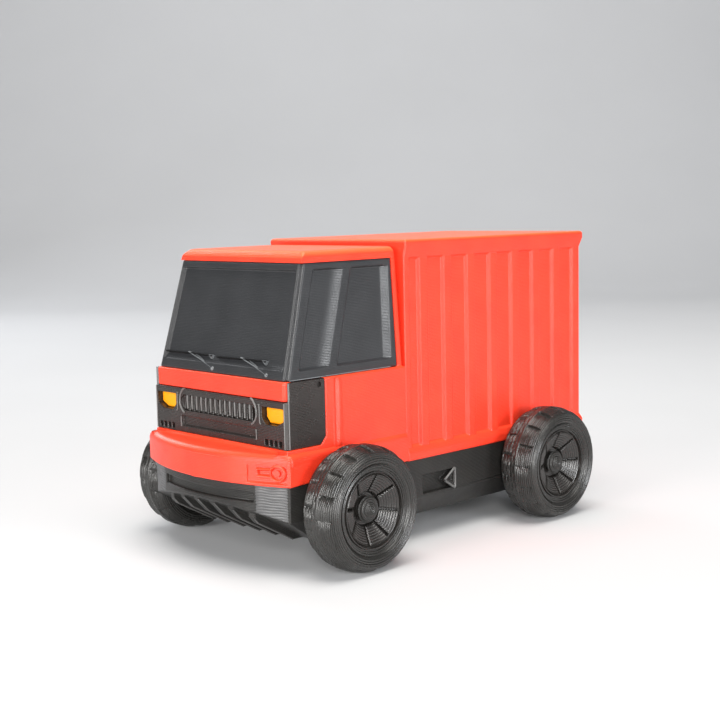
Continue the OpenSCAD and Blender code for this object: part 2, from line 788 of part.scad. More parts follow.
// A wall panel's recess on the left side, from y0 to y1 at its rim
module panel(y0, y1) {
    f = rib_flank;
    intersection() {
        up(panel_z0 - 1, panel_z1 + 1) polygon([[panel_x, y0 + f], [panel_x, y1 - f],
            [post_x, y1], [far, y1], [far, y0], [post_x, y0]]);
        along(y0 - 1, y1 + 1) polygon([[panel_x, panel_z0 + f], [post_x, panel_z0],
            [far, panel_z0], [far, panel_z1], [post_x, panel_z1], [panel_x, panel_z1 - f]]);
    }
}

module container_body() {
    color("#ee4a33")
        difference() {
            union() {
                intersection() {
                    along(box_front, box_rear) for (s = [-1, 1])
                        polygon([[0, box_z], [s * box_w / 2, box_z], [s * box_w / 2, box_z + rail_h],
                            [s * post_x, panel_z0], [s * post_x, panel_z1],
                            [s * box_w / 2, box_top - rail_h], [s * box_w / 2, box_top],
                            [0, box_top]]);
                    across(far) polygon([[box_front, box_z], [box_rear, box_z],
                        [box_rear, box_z + rail_h], [post_back, panel_z0],
                        [post_back, panel_z1], [box_rear, box_top - rail_h],
                        [box_rear, box_top], [box_front, box_top]]);
                }
                pegs(box_pegs, peg_w, box_z - peg_h, box_z + 1);
            }
            both() for (i = [0 : panel_count - 1]) {
                y1 = panels_rear - i * panel_pitch;
                y0 = max(y1 - panel_pitch + rib_w, box_front + front_post);
                if (y1 - y0 > 3 * rib_flank) panel(y0, y1);
            }
            difference() {
                block([-inside_x, box_front + box_wall, inside_z0],
                      [inside_x, box_rear + 1, inside_z1]);
                // header over the doors, and the strip they close against
                block([-far, hinge_y - 1.6, box_top - header_h], [far, box_rear, box_top]);
                block([-hinge_x + barrel_d / 2 + 0.5, stop_y, box_z],
                      [hinge_x - barrel_d / 2 - 0.5, stop_y + door_stop, inside_z0 + door_stop]);
            }
            // the floor drops a little under the doors
            difference() {
                block([-inside_x, stop_y, inside_z0 - door_drop], [inside_x, box_rear + 1, inside_z0 + eps]);
                block([-hinge_x + barrel_d / 2 + 0.5, stop_y - 1, box_z],
                      [hinge_x - barrel_d / 2 - 0.5, stop_y + door_stop, box_top]);
            }
            both() translate([hinge_x, hinge_y, box_z - 1])
                cylinder(d = door_pin_d + 2 * door_pin_play,
                         h = box_top - header_h + door_pin_top - box_z + 1);
        }
}

// Left rear door, closed
module rear_door() {
    y0 = hinge_y - door_t / 2;
    y1 = hinge_y + door_t / 2;
    edge = door_gap / 2;
    mid = (edge + hinge_x) / 2;
    color("#ee4a33")
        difference() {
            union() {
                block([edge, y0, door_z0], [hinge_x, y1, door_z1]);
                translate([hinge_x, hinge_y, door_z0]) cylinder(d = barrel_d, h = door_z1 - door_z0);
                // two lock rods with their handles and keepers
                for (x = [mid - 2.6, mid + 2.6]) {
                    block([x - rod_w / 2, y0 + 0.1, door_z0 + 1], [x + rod_w / 2, y1 + door_relief, door_z1 - 1]);
                    for (z = [door_z0 + 2.5, door_z1 - 4])
                        block([x - rod_w, y0 + 0.1, z], [x + rod_w, y1 + 0.2, z + 1.5]);
                }
                block([mid - handle_w / 2, y0 + 0.1, handle_z],
                      [mid + handle_w / 2, y1 + door_relief, handle_z + handle_h]);
            }
            translate([hinge_x, hinge_y, door_z0 - 1])
                cylinder(d = door_pin_d, h = door_z1 - door_z0 + 2);
        }
}

module door_pin() {
    color("#8d8f92") translate([hinge_x, hinge_y, box_z + door_gap])
        cylinder(d = door_pin_d, h = box_top - header_h + door_pin_top - box_z - 2 * door_gap);
}

// ---- wheels ----

// Section of a left wheel's tyre, as r-x points, with both shoulders rounded
module tyre_section() {
    w = tyre_w / 2;
    r = tyre_d / 2;
    side = [for (i = [0 : 6]) [r - shoulder_h * (1 - cos(i * 15)), w - shoulder_w * (1 - sin(i * 15))]];
    polygon(concat([[rim_d / 2, w - lip_depth], [rim_d / 2 + lip_w * 0.35, w - lip_depth * 0.6],
                    [rim_d / 2 + lip_w, w - 0.05]],
        [for (i = [6 : -1 : 0]) side[i]], [for (i = [0 : 6]) [side[i][0], -side[i][1]]],
        [[rim_d / 2 + 0.25, -w + 0.05], [rim_d / 2, -w + 0.25]]));
}

// Sawtooth notches round one shoulder, turned by an angle
module notches(turn) {
    r = tyre_d / 2;
    a = notch_len / r * 180 / PI;
    for (i = [0 : notch_count - 1])
        rotate(turn + i * 360 / notch_count)
            linear_extrude(tyre_w) polygon([[r - notch_depth, 0], [r + 1, 0],
                [(r + 1) * cos(a), -(r + 1) * sin(a)], [r * cos(a), -r * sin(a)]]);
}

module tyre() {
    color("#2e2d2c") translate([tyre_in + tyre_w / 2, 0, 0]) rotate([0, 90, 0])
        difference() {
            rotate_extrude($fn = 96) tyre_section();
            translate([0, 0, crown_w / 2]) notches(5);
            mirror([0, 0, 1]) translate([0, 0, crown_w / 2]) notches(5 + 180 / notch_count);
        }
}

module rim() {
    x0 = tyre_in + 0.3;
    color("#232221") translate([0, 0, 0]) rotate([0, 90, 0])
        difference() {
            rotate_extrude($fn = 96) polygon([[pin_d / 2 + pin_play, hub_in],
                [hub_d / 2, hub_in], [hub_d / 2, x0 + 1.4], [rim_d / 2 - 1.2, x0 + 1.4],
                [rim_d / 2 - 1.2, x0], [rim_d / 2, x0], [rim_d / 2, rim_face - 0.7],
                [rim_d / 2 - 0.3, rim_face - 0.7], [rim_d / 2 - 0.3, rim_face],
                [hub_d / 2, rim_face - dish_fall], [hub_d / 2 - 0.2, hub_face],
                [pin_d / 2 + pin_play, hub_face]]);
            for (i = [0 : slot_count - 1])
                rotate(i * 360 / slot_count) translate([hub_d / 2 + 0.1, -slot_w / 2, rim_face - dish_fall - slot_depth])
                    cube([rim_d / 2 - hub_d / 2 - 0.4 - 0.1, slot_w, dish_fall + slot_depth + 1]);
        }
}

module wheel_pin() {
    x1 = hub_face + end_play;
    x0 = sill_w / 2 + boss_h - pin_grip + 0.3;
    r = pin_head_d / 2;
    h = pin_head_h;
    color("#3a3937") rotate([0, 90, 0]) rotate_extrude($fn = 48)
        polygon([[0, x0], [pin_d / 2 - 0.3, x0], [pin_d / 2, x0 + 0.4], [pin_d / 2, x1], [r, x1],
                 [r, x1 + h * 0.3], [r * 0.87, x1 + h * 0.65], [r * 0.6, x1 + h * 0.9], [0, x1 + h]]);
}

// Puts a left wheel's part at an axle
module at_axle(y) {
    translate([0, y, axle_z]) children();
}

module right() {
    mirror([1, 0, 0]) children();
}

chassis();
cab_shell();
window_insert();
grille_insert();
headlight();  // headlight_left
right() headlight();  // headlight_right
container_body();
rear_door();  // rear_door_left
right() rear_door();  // rear_door_right
door_pin();  // door_pin_left
right() door_pin();  // door_pin_right
at_axle(axle_front) tyre();  // tyre_front_left
at_axle(axle_front) right() tyre();  // tyre_front_right
at_axle(axle_rear) tyre();  // tyre_rear_left
at_axle(axle_rear) right() tyre();  // tyre_rear_right
at_axle(axle_front) rim();  // rim_front_left
at_axle(axle_front) right() rim();  // rim_front_right
at_axle(axle_rear) rim();  // rim_rear_left
at_axle(axle_rear) right() rim();  // rim_rear_right
at_axle(axle_front) wheel_pin();  // wheel_pin_front_left
at_axle(axle_front) right() wheel_pin();  // wheel_pin_front_right
at_axle(axle_rear) wheel_pin();  // wheel_pin_rear_left
at_axle(axle_rear) right() wheel_pin();  // wheel_pin_rear_right
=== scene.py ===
"""Small printed delivery truck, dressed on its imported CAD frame.

Lengths are in millimetres until mesh() or a material turns them into metres.
+X is the truck's left side, its nose looks along -Y and +Z is up.
"""

import math

import bmesh
import bpy
from mathutils import Matrix, Vector


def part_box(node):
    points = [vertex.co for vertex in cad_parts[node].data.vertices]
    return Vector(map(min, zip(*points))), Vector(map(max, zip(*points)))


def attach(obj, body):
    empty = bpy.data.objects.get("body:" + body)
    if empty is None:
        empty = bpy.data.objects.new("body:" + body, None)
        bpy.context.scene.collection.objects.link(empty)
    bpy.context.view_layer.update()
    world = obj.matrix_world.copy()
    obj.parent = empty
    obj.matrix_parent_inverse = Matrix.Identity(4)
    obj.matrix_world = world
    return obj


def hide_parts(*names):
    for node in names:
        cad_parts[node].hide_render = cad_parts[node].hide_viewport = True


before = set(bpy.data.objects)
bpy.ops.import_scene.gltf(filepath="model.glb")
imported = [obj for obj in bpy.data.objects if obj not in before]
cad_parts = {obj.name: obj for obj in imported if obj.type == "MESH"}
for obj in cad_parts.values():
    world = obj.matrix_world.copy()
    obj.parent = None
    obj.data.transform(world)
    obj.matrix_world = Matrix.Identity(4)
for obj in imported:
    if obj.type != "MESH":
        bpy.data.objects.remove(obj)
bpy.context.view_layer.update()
MM = 0.001
SIDES = (("left", 1), ("right", -1))


def ramp01(v, lo, hi):
    """0 at lo, 1 at hi, straight between them."""
    return max(0.0, min(1.0, (v - lo) / (hi - lo)))


def spread(a, b, count):
    """count even steps from a towards b, without b itself."""
    return [a + (b - a) * i / count for i in range(count)]


def polar(radius, degrees):
    turn = math.radians(degrees)
    return radius * math.cos(turn), radius * math.sin(turn)


# ---- materials ----

LAYER = 0.24  # height of one printed layer
BEAD = 0.42  # width of one printed line
RING_PITCH = 0.37  # printed rings on the wheels' faces
WOBBLE = 0.05  # how far a printed line strays


def srgb(r, g, b):
    """A colour from its 0 to 255 screen values."""
    out = []
    for v in (r, g, b):
        v /= 255
        out.append(v / 12.92 if v <= 0.04045 else ((v + 0.055) / 1.055) ** 2.4)
    return (*out, 1.0)


class Nodes:
    """A short way to write a node tree."""

    def __init__(self, name):
        self.mat = bpy.data.materials.new(name)
        self.mat.use_nodes = True
        self.tree = self.mat.node_tree
        self.tree.nodes.clear()
        self.out = self.tree.nodes.new("ShaderNodeOutputMaterial")
        self.bsdf = self.tree.nodes.new("ShaderNodeBsdfPrincipled")
        self.tree.links.new(self.bsdf.outputs[0], self.out.inputs[0])

    def link(self, value, socket):
        if isinstance(value, bpy.types.NodeSocket):
            self.tree.links.new(value, socket)
        else:
            socket.default_value = value

    def math(self, op, *values):
        node = self.tree.nodes.new("ShaderNodeMath")
        node.operation = op
        for i, v in enumerate(values):
            self.link(v, node.inputs[i])
        return node.outputs[0]

    def coord(self):
        node = self.tree.nodes.new("ShaderNodeTexCoord")
        return node.outputs["Object"]

    def normal(self):
        node = self.tree.nodes.new("ShaderNodeTexCoord")
        return self.split(node.outputs["Normal"])

    def split(self, vector):
        node = self.tree.nodes.new("ShaderNodeSeparateXYZ")
        self.link(vector, node.inputs[0])
        return node.outputs

    def noise(self, vector, size, detail=2.0):
        """Noise whose lumps are about size mm across."""
        node = self.tree.nodes.new("ShaderNodeTexNoise")
        self.link(vector, node.inputs["Vector"])
        node.inputs["Scale"].default_value = 1 / (size * MM)
        node.inputs["Detail"].default_value = detail
        return node.outputs["Fac"]

    def ramp(self, value, lo, hi, a, b):
        """a to b as value goes from lo to hi."""
        node = self.tree.nodes.new("ShaderNodeMapRange")
        self.link(value, node.inputs[0])
        for i, v in enumerate((lo, hi, a, b)):
            self.link(v, node.inputs[i + 1])
        return node.outputs[0]

    def mix(self, factor, a, b):
        node = self.tree.nodes.new("ShaderNodeMix")
        node.data_type = "RGBA"
        self.link(factor, node.inputs[0])
        self.link(a, node.inputs[6])
        self.link(b, node.inputs[7])
        return node.outputs[2]

    def groove(self, along, pitch, sharp=3.0):
        """Round beads side by side: 1 on a bead's crown, 0 in the groove."""
        part = self.math("FRACT", self.math("DIVIDE", along, pitch * MM))
        side = self.math("ABSOLUTE", self.math("MULTIPLY_ADD", part, 2.0, -1.0))
        return self.math("SUBTRACT", 1.0, self.math("POWER", side, sharp))

    def bump(self, height, depth, strength=1.0, onto=None):
        node = self.tree.nodes.new("ShaderNodeBump")
        self.link(height, node.inputs["Height"])
        node.inputs["Distance"].default_value = depth * MM
        node.inputs["Strength"].default_value = strength
        if onto is not None:
            self.link(onto, node.inputs["Normal"])
        return node.outputs[0]


def printed(name, colour, top, dark, rough, depth=0.02, specular=0.5, wheel=None):
    """Printed plastic: layers stacked up the walls and lines laid side by side on the flat faces.

    top is a lighter colour painted on high faces that look up, as painted light from above, and dark
    that of the darker patches; the grooves between the printed lines are darkened as painted shade.
    wheel is the (y, z) of an axle: the layers are then stacked along it, and the lines run round it.
    """
    m = Nodes(name)
    at = m.coord()
    x, y, z = m.split(at)
    nx, _, nz = m.normal()
    wobble = m.math("MULTIPLY", m.noise(at, 9.0, 3.0), WOBBLE * MM)
    if wheel:
        stack, flat = x, m.math("ABSOLUTE", nx)
        dy = m.math("SUBTRACT", y, wheel[0] * MM)
        dz = m.math("SUBTRACT", z, wheel[1] * MM)
        lines = m.math("SQRT", m.math("ADD", m.math("MULTIPLY", dy, dy), m.math("MULTIPLY", dz, dz)))
    else:
        stack, flat = z, m.math("ABSOLUTE", nz)
        lines = m.math("ADD", x, y)
    layers = m.groove(m.math("ADD", stack, wobble), LAYER)
    if wheel:
        beads = m.groove(lines, RING_PITCH)
        face = m.ramp(flat, 0.5, 0.75, 0.0, 1.0)
    else:
        beads = m.groove(m.math("ADD", lines, wobble), BEAD)
        face = m.ramp(flat, 0.9, 0.97, 0.0, 1.0)
    height = m.math("ADD", m.math("MULTIPLY", layers, m.math("SUBTRACT", 1.0, face)),
                    m.math("MULTIPLY", beads, face))
    grain = m.bump(m.noise(at, 0.18, 3.0), 0.01, 0.5)
    m.link(m.bump(height, depth, 1.0, grain), m.bsdf.inputs["Normal"])

    mottle = m.noise(at, 5.0, 4.0)
    base = m.mix(m.ramp(mottle, 0.35, 0.65, 0.0, 1.0), srgb(*colour), srgb(*dark))
    # painted shade: the grooves between printed layers, lines and rings are darkened towards deep, a
    # fifth of the colour on wheels, half of it elsewhere
    if wheel:
        groove_shade, shade = m.ramp(height, 0.0, 0.8, 1.0, 0.0), 0.2
    else:
        # painted light from above: faces that look up are mixed towards the lighter top colour, a
        # quarter as much below 30 mm height
        up = m.math("MULTIPLY", m.ramp(nz, 0.3, 0.9, 0.0, 1.0), m.ramp(z, 0.03, 0.04, 0.25, 1.0))
        base = m.mix(up, base, srgb(*top))
        groove_shade, shade = m.ramp(height, 0.0, 0.35, 0.25, 0.0), 0.5
    deep = srgb(*(c * shade for c in colour))
    m.link(m.mix(groove_shade, base, deep), m.bsdf.inputs["Base Color"])
    worn = m.ramp(m.noise(at, 2.5, 3.0), 0.3, 0.7, rough - 0.03, rough + 0.04)
    m.link(worn, m.bsdf.inputs["Roughness"])
    m.bsdf.inputs["Specular IOR Level"].default_value = specular
    return m.mat


# each material's second colour is painted light on faces that look up; its third is a darker mottle
RED = printed("red_plastic", (238, 60, 35), (246, 100, 52), (230, 54, 31), 0.36)
WINDOW = printed("window_plastic", (44, 45, 47), (47, 48, 50), (38, 39, 41), 0.33, depth=0.018)
# the blades: the insert's own black, made near black as painted shadow along each blade
BLADE_SHADOW = printed("blade_shadow_plastic", (15, 15, 16), (18, 18, 19), (13, 13, 14), 0.5, 0.01, 0.2)
# light grey on the black insert's raised wiper arms, stays, tips, knobs and belt line: painted
# highlights
WIPER_HIGHLIGHT = printed("wiper_highlight_plastic", (112, 115, 118), (120, 123, 126), (100, 103, 106), 0.35, 0.01, 0.6)
# light grey beads on black parts: painted highlights along the grille's edges, the slats, the skid's
# ribs and the sill arrow
EDGE_HIGHLIGHT = printed("edge_highlight_plastic", (98, 97, 96), (104, 103, 102), (88, 87, 86), 0.32, 0.01, 0.6)
# the skid's corners: the chassis black made lighter grey, painted light on their lit faces
CORNER_LIT = printed("corner_lit_plastic", (80, 80, 81), (84, 84, 85), (70, 70, 71), 0.38, 0.01, 0.6)
GRILLE = printed("grille_plastic", (42, 37, 35), (48, 43, 41), (35, 31, 29), 0.27, 0.03, 0.6)
CHASSIS = printed("chassis_plastic", (43, 42, 40), (47, 46, 44), (36, 35, 34), 0.34, 0.04, 0.35)
LAMP = printed("lamp_plastic", (250, 160, 12), (255, 178, 34), (244, 150, 10), 0.38, specular=0.4)
PIN = printed("pin_plastic", (38, 37, 35), (40, 39, 37), (34, 33, 31), 0.3)
DOOR_PIN = printed("door_pin_plastic", (120, 122, 125), (130, 132, 135), (108, 110, 112), 0.35)

# ---- mesh helpers ----


def finish_mesh(obj, material, smooth):
    """One material, and smooth shading where faces meet at less than smooth degrees."""
    obj.data.materials.clear()
    obj.data.materials.append(material)
    obj.data.shade_smooth()
    if smooth < 180:
        obj.data.set_sharp_from_angle(angle=math.radians(smooth))


def mesh(name, verts, faces, material, body, slot, smooth):
    """A piece from points in mm, riding on a body."""
    data = bpy.data.meshes.new(name)
    data.from_pydata([tuple(c * MM for c in v) for v in verts], [], faces)
    obj = bpy.data.objects.new(name, data)
    bpy.context.scene.collection.objects.link(obj)
    bm = bmesh.new()
    bm.from_mesh(data)
    bmesh.ops.recalc_face_normals(bm, faces=bm.faces)
    bm.to_mesh(data)
    bm.free()
    finish_mesh(obj, material, smooth)
    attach(obj, body)
    return obj


def rings_sheet(rings, join_ends=False):
    """Points and quads over closed rings, with the last ring joined to the first if asked."""
    count = len(rings[0])
    verts = [p for ring in rings for p in ring]
    faces = []
    last = len(rings) if join_ends else len(rings) - 1
    for i in range(last):
        a, b = i * count, (i + 1) % len(rings) * count
        for j in range(count):
            k = (j + 1) % count
            faces.append((a + j, a + k, b + k, b + j))
    return verts, faces


def rows_sheet(rows):
    """Points and quads over open rows."""
    count = len(rows[0])
    verts = [p for row in rows for p in row]
    faces = []
    for i in range(len(rows) - 1):
        for j in range(count - 1):
            a = i * count + j
            faces.append((a, a + 1, a + 1 + count, a + count))
    return verts, faces


def bead(name, path, width, height, material, slot, out):
    """A half-round bar on the truck, laid along a path on a face whose outward normal is out."""
    sides, sunk = 8, 0.25
    out = Vector(out).normalized()
    pts = [Vector(p) for p in path]
    rings = []
    for i, p in enumerate(pts):
        ahead = (pts[min(i + 1, len(pts) - 1)] - pts[max(i - 1, 0)]).normalized()
        across = ahead.cross(out).normalized()
        ring = []
        for k in range(sides):
            a = math.pi * k / (sides - 1)
            ring.append(tuple(p + across * (width / 2 * math.cos(a)) + out * (height * math.sin(a))))
        ring.append(tuple(p - out * sunk))
        rings.append(ring)
    verts, faces = rings_sheet(rings)
    count = len(rings[0])
    ends = [list(range(count))[::-1], [len(verts) - count + k for k in range(count)]]
    mesh(name, verts, ends + faces, material, "truck", slot, 50)


# ---- CAD nodes with rounded edges ----

WELD = 0.004  # points closer than this are one
FLAT = 0.6  # degrees within which two faces are one
EDGE_ROOM = 0.42  # the share of its shortest neighbour that an edge's radius may take
WIDEST = 1.0  # the largest edge radius that a rounds function may give
CREASE = 24  # degrees from which an edge is rounded


def edge_weights(bm, radius, rounds, widest):
    """Each sharp edge's radius, as a share of the widest one, kept small where edges are short."""
    weights = bm.edges.layers.float.new("bevel_weight_edge")
    room = {v: min((e.calc_length() for e in v.link_edges), default=0) for v in bm.verts}
    for e in bm.edges:
        if len(e.link_faces) == 2 and e.calc_face_angle(0) > math.radians(CREASE):
            a, b = e.verts[0].co / MM, e.verts[1].co / MM
            own = rounds((a + b) / 2, (b - a).normalized()) if rounds else None
            space = min(room[e.verts[0]], room[e.verts[1]]) / MM * EDGE_ROOM
            e[weights] = max(0.0, min(radius if own is None else own, space) / widest)


def dress(node, material, body, radius=0.25, segments=2, rounds=None):
    """A CAD node's own shape with its edges rounded, as a printed piece has them.

    rounds(middle, direction) gives an edge's own radius, or None for the usual one.
    """
    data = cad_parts[node].data.copy()
    obj = bpy.data.objects.new(node + "_skin", data)
    bpy.context.scene.collection.objects.link(obj)
    widest = WIDEST if rounds else radius
    bm = bmesh.new()
    bm.from_mesh(data)
    bmesh.ops.remove_doubles(bm, verts=bm.verts, dist=WELD * MM)
    bmesh.ops.dissolve_limit(bm, angle_limit=math.radians(FLAT), verts=bm.verts, edges=bm.edges)
    bmesh.ops.triangulate(bm, faces=[f for f in bm.faces if len(f.verts) > 4])
    edge_weights(bm, radius, rounds, widest)
    bm.to_mesh(data)
    bm.free()
    if data.attributes.get("custom_normal"):
        data.attributes.remove(data.attributes["custom_normal"])
    finish_mesh(obj, material, 180)
    bevel = obj.modifiers.new("edges", "BEVEL")
    bevel.limit_method = "WEIGHT"
    bevel.width = widest * MM
    bevel.segments = segments
    bevel.use_clamp_overlap = False
    bevel.miter_outer = "MITER_ARC"
    # on the container's long walls, edges that slide give fewer slivers
    bevel.loop_slide = node == "container_body"
    weighted = obj.modifiers.new("normals", "WEIGHTED_NORMAL")
    weighted.keep_sharp = True
    data.set_sharp_from_angle(angle=math.radians(30))
    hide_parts(node)
    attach(obj, body)


def cab_rounds(at, way):
    """Wider rounds on the cab's roof, its upright corners and the bumper's upright corners."""
    upright = abs(way.z) > 0.9
    if at.z > 46.9:
        return 0.6
    if upright and at.z < 18.9 and abs(at.x) > 17.6:
        return 0.8
    if upright and at.z > 26.5 and abs(at.x) > 16.0:
        return 0.5
    return None


def box_rounds(at, way):
    """Crisper edges on the container's ribs, wider ones on its roof."""
    if at.z > 49.5:
        return 0.5
    if 15.7 < abs(at.x) < 16.5 and 16 < at.z < 47.4:
        return 0.14
    return None


def door_rounds(at, way):
    """No rounding on a rear door's shallow lock rods and their handles."""
    return 0 if 2 < abs(at.x) < 10.9 and 16.6 < at.z < 46.5 else 0.2


dress("container_body", RED, "truck", radius=0.3, segments=3, rounds=box_rounds)
dress("cab_shell", RED, "truck", radius=0.25, segments=3, rounds=cab_rounds)
dress("grille_insert", GRILLE, "truck", radius=0.12)
dress("chassis", CHASSIS, "truck", radius=0.2)
for side, _ in SIDES:
    dress("headlight_" + side, LAMP, "truck", radius=0.3, segments=3)
    leaf = "rear_door_%s_leaf" % side
    dress("rear_door_" + side, RED, leaf, rounds=door_rounds)
    dress("door_pin_" + side, DOOR_PIN, leaf, radius=0.15)

# ---- window insert ----

BELT, EAVES = 29.85, 47.25  # the insert's foot and top
LEAN_FOOT, LEAN_RISE = 29.8, 17.5  # where the windows' lean starts, and the height it takes
SCREEN_Y, SCREEN_LEAN = -33.7, 4.7  # the windscreen's foot, and how far its top leans back
HALF_X, HALF_LEAN = 16.3, 1.1  # the sides' foot, and how far their tops lean in
GLASS = 1.5  # the insert's thickness
PANE_FOOT, PANE_TOP = 31.2, 46.25
PANE_DEPTH = 0.5
SCREEN_FRAME = 0.9  # from the corner to the windscreen's pane
# the left side's panes, as y of the front and rear edges at a pane's foot and at its top
QUARTER = (-31.0, -24.9), (-26.8, -20.5)
DOOR_PANE = (-23.2, -11.2), (-18.9, -10.7)
# how wide the slopes at a pane's front, rear, foot and top are, and how round
SCREEN_COVES = (0.58, 0.58, 0.9, 0.3), 1.05
QUARTER_COVES = (0.5, 2.6, 0.3, 0.3), 1.9
DOOR_COVES = (0.5, 1.55, 0.3, 0.3), 1.15
# the insert's columns from the door pane to the front corner: y at the panes' foot and at their
# top, and the steps to the next mark
SIDE_MARKS = ((-11.18, -10.68, 14), (-12.8, -12.2, 10), (-22.5, -18.2, 9), (-23.26, -18.96, 4),
              (-24.88, -20.48, 20), (-27.5, -23.1, 4), (-30.3, -26.1, 8), (-31.06, -26.86, 4),
              (-32.4, -28.4, 0))
# the front corner's two fine ridges with a groove between them, as steps in from side and front
CORNER_STEPS = ((0.0, 0.8), (0.02, 0.68), (0.12, 0.55), (0.22, 0.45), (0.4, 0.44), (0.44, 0.4),
                (0.45, 0.22), (0.55, 0.12))
SCREEN_STEPS = 22  # columns across the windscreen's middle
SCREEN_SIDE = 2.4  # from the corner to those columns


def front_y(z):
    return SCREEN_Y + SCREEN_LEAN * (z - LEAN_FOOT) / LEAN_RISE


def half_x(z):
    return HALF_X - HALF_LEAN * (z - LEAN_FOOT) / LEAN_RISE


def line_y(foot, top, z):
    """y at height z of a line that is given by its y at the panes' foot and top."""
    return foot + (top - foot) * (z - PANE_FOOT) / (PANE_TOP - PANE_FOOT)


def cove_depth(front, rear, z, coves):
    """How deep a pane is at these distances inside its front and rear edges and at height z."""
    widths, bend = coves
    inside = (front, rear, z - PANE_FOOT, PANE_TOP - z)
    if min(inside) <= 0:
        return 0.0
    left, right, low, high = (max(0.0, 1 - d / w) for d, w in zip(inside, widths))
    out = min(1.0, math.hypot(max(left, right), max(low, high)))
    return PANE_DEPTH * (1 - out ** bend)


def side_depth(y, z):
    """How deep the side is at y and z, in either of its panes."""
    depths = []
    for pane, coves in ((QUARTER, QUARTER_COVES), (DOOR_PANE, DOOR_COVES)):
        (front_foot, rear_foot), (front_top, rear_top) = pane
        front = y - line_y(front_foot, front_top, z)
        rear = line_y(rear_foot, rear_top, z) - y
        depths.append(cove_depth(front, rear, z, coves))
    return max(depths)


def screen_depth(x, half, z):
    return cove_depth(half - SCREEN_FRAME + x, half - SCREEN_FRAME - x, z, SCREEN_COVES)


def insert_rows():
    """The insert's rows as heights, with how far each draws in to round the foot and the top."""
    rows = [(BELT + up, fillet) for up, fillet in ((0, 0.22), (0.06, 0.1), (0.16, 0.03), (0.3, 0))]
    levels = [30.6, 31.1] + spread(PANE_FOOT - 0.02, 32.1, 11)
    levels += spread(32.1, 45.3, 16) + spread(45.3, PANE_TOP + 0.02, 10) + [PANE_TOP + 0.05, 46.7]
    rows += [(z, 0) for z in levels]
    top = ((0.3, 0), (0.12, 0.03), (0.04, 0.1), (0, 0.2))
    return rows + [(EAVES - down, fillet) for down, fillet in top]


def side_columns(rear):
    """The side's columns from the rear, as y at the panes' foot and at their top."""
    columns = [(rear - a, rear - b) for a, b in ((0, 0), (0.1, 0.1), (0.3, 0.3), (0.7, 0.4))]
    for (foot, top, count), (next_foot, next_top, _) in zip(SIDE_MARKS, SIDE_MARKS[1:]):
        columns += zip(spread(foot, next_foot, count), spread(top, next_top, count))
    return columns


def half_row(sign, z, fillet, columns, rear):
    """One side's points of a row, from the rear round the corner to the windscreen."""
    y0, half = front_y(z), half_x(z)
    part = []
    for i, (foot, top) in enumerate(columns):
        y = min(line_y(foot, top, z), rear)
        back = {0: 0.2, 1: 0.05}.get(i, 0.0)
        part.append((sign * (half - side_depth(y, z) - max(fillet, back)), y, z))
    for dx, dy in CORNER_STEPS:
        part.append((sign * (half - dx - fillet), y0 + dy + fillet, z))
    for d in [0.68, 0.8, 0.88] + spread(0.93, 1.8, 11) + [1.8, SCREEN_SIDE]:
        depth = screen_depth(half - d, half, z)
        ridge = 0.02 if d == 0.68 else 0.0
        part.append((sign * (half - d), y0 + ridge + depth + fillet, z))
    return part


def insert_row(z, fillet, columns, rear):
    """One row of points from the left rear round the front to the right rear."""
    y0, half = front_y(z), half_x(z)
    middle = []
    for i in range(1, SCREEN_STEPS):
        x = (half - SCREEN_SIDE) * (1 - 2 * i / SCREEN_STEPS)
        middle.append((x, y0 + screen_depth(x, half, z) + fillet, z))
    left, right = (half_row(sign, z, fillet, columns, rear) for _, sign in SIDES)
    return left + middle + right[::-1]


def window_insert():
    """The windscreen and the side windows in one U-shaped piece."""
    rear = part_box("window_insert")[1].y / MM
    columns = side_columns(rear)
    rows = [insert_row(z, fillet, columns, rear) for z, fillet in insert_rows()]
    verts, faces = rows_sheet(rows)
    width = len(rows[0])
    # the inside, GLASS behind the outside, from the foot and top rows
    base = len(verts)
    for z, row in ((BELT, rows[0]), (EAVES, rows[-1])):
        y0, half = front_y(z) + GLASS, half_x(z) - GLASS
        verts += [(max(-half, min(half, x)), max(y, y0), z) for x, y, _ in row]
    top = (len(rows) - 1) * width
    for j in range(width - 1):
        inner = base + j
        faces.append((inner, inner + 1, j + 1, j))
        faces.append((inner + width, top + j, top + j + 1, inner + width + 1))
        faces.append((inner, inner + width, inner + width + 1, inner + 1))
    for j in (0, width - 1):
        outer = [i * width + j for i in range(len(rows))]
        faces.append(outer + [base + width + j, base + j])
    obj = mesh("window_insert_skin", verts, faces, WINDOW, "truck", "black_window", 32)
    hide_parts("window_insert")


# ---- wipers and belt ----

SCREEN_OUT = (0, -LEAN_RISE, SCREEN_LEAN)
# each wiper's points as x and the way up the screen: the blade's ends, its clasp and the pivot
WIPERS = {"right": ((-14.9, 2.65), (-2.4, 2.7), (-8.85, 2.9), (-1.8, 0.63)),
          "left": ((-1.33, 2.6), (11.0, 2.7), (4.7, 2.87), (11.57, 0.6))}
KNOB_R = 0.22


def on_screen(x, up):
    """A point on the windscreen pane's floor, up along its slope from the belt."""
    z = LEAN_FOOT + up * LEAN_RISE / math.hypot(SCREEN_LEAN, LEAN_RISE)
    return (x, front_y(z) + PANE_DEPTH, z)


def wiper_bar(name, points, width, height, material):
    path = [on_screen(*p) for p in points]
    bead(name, path, width, height, material, "black_window", SCREEN_OUT)


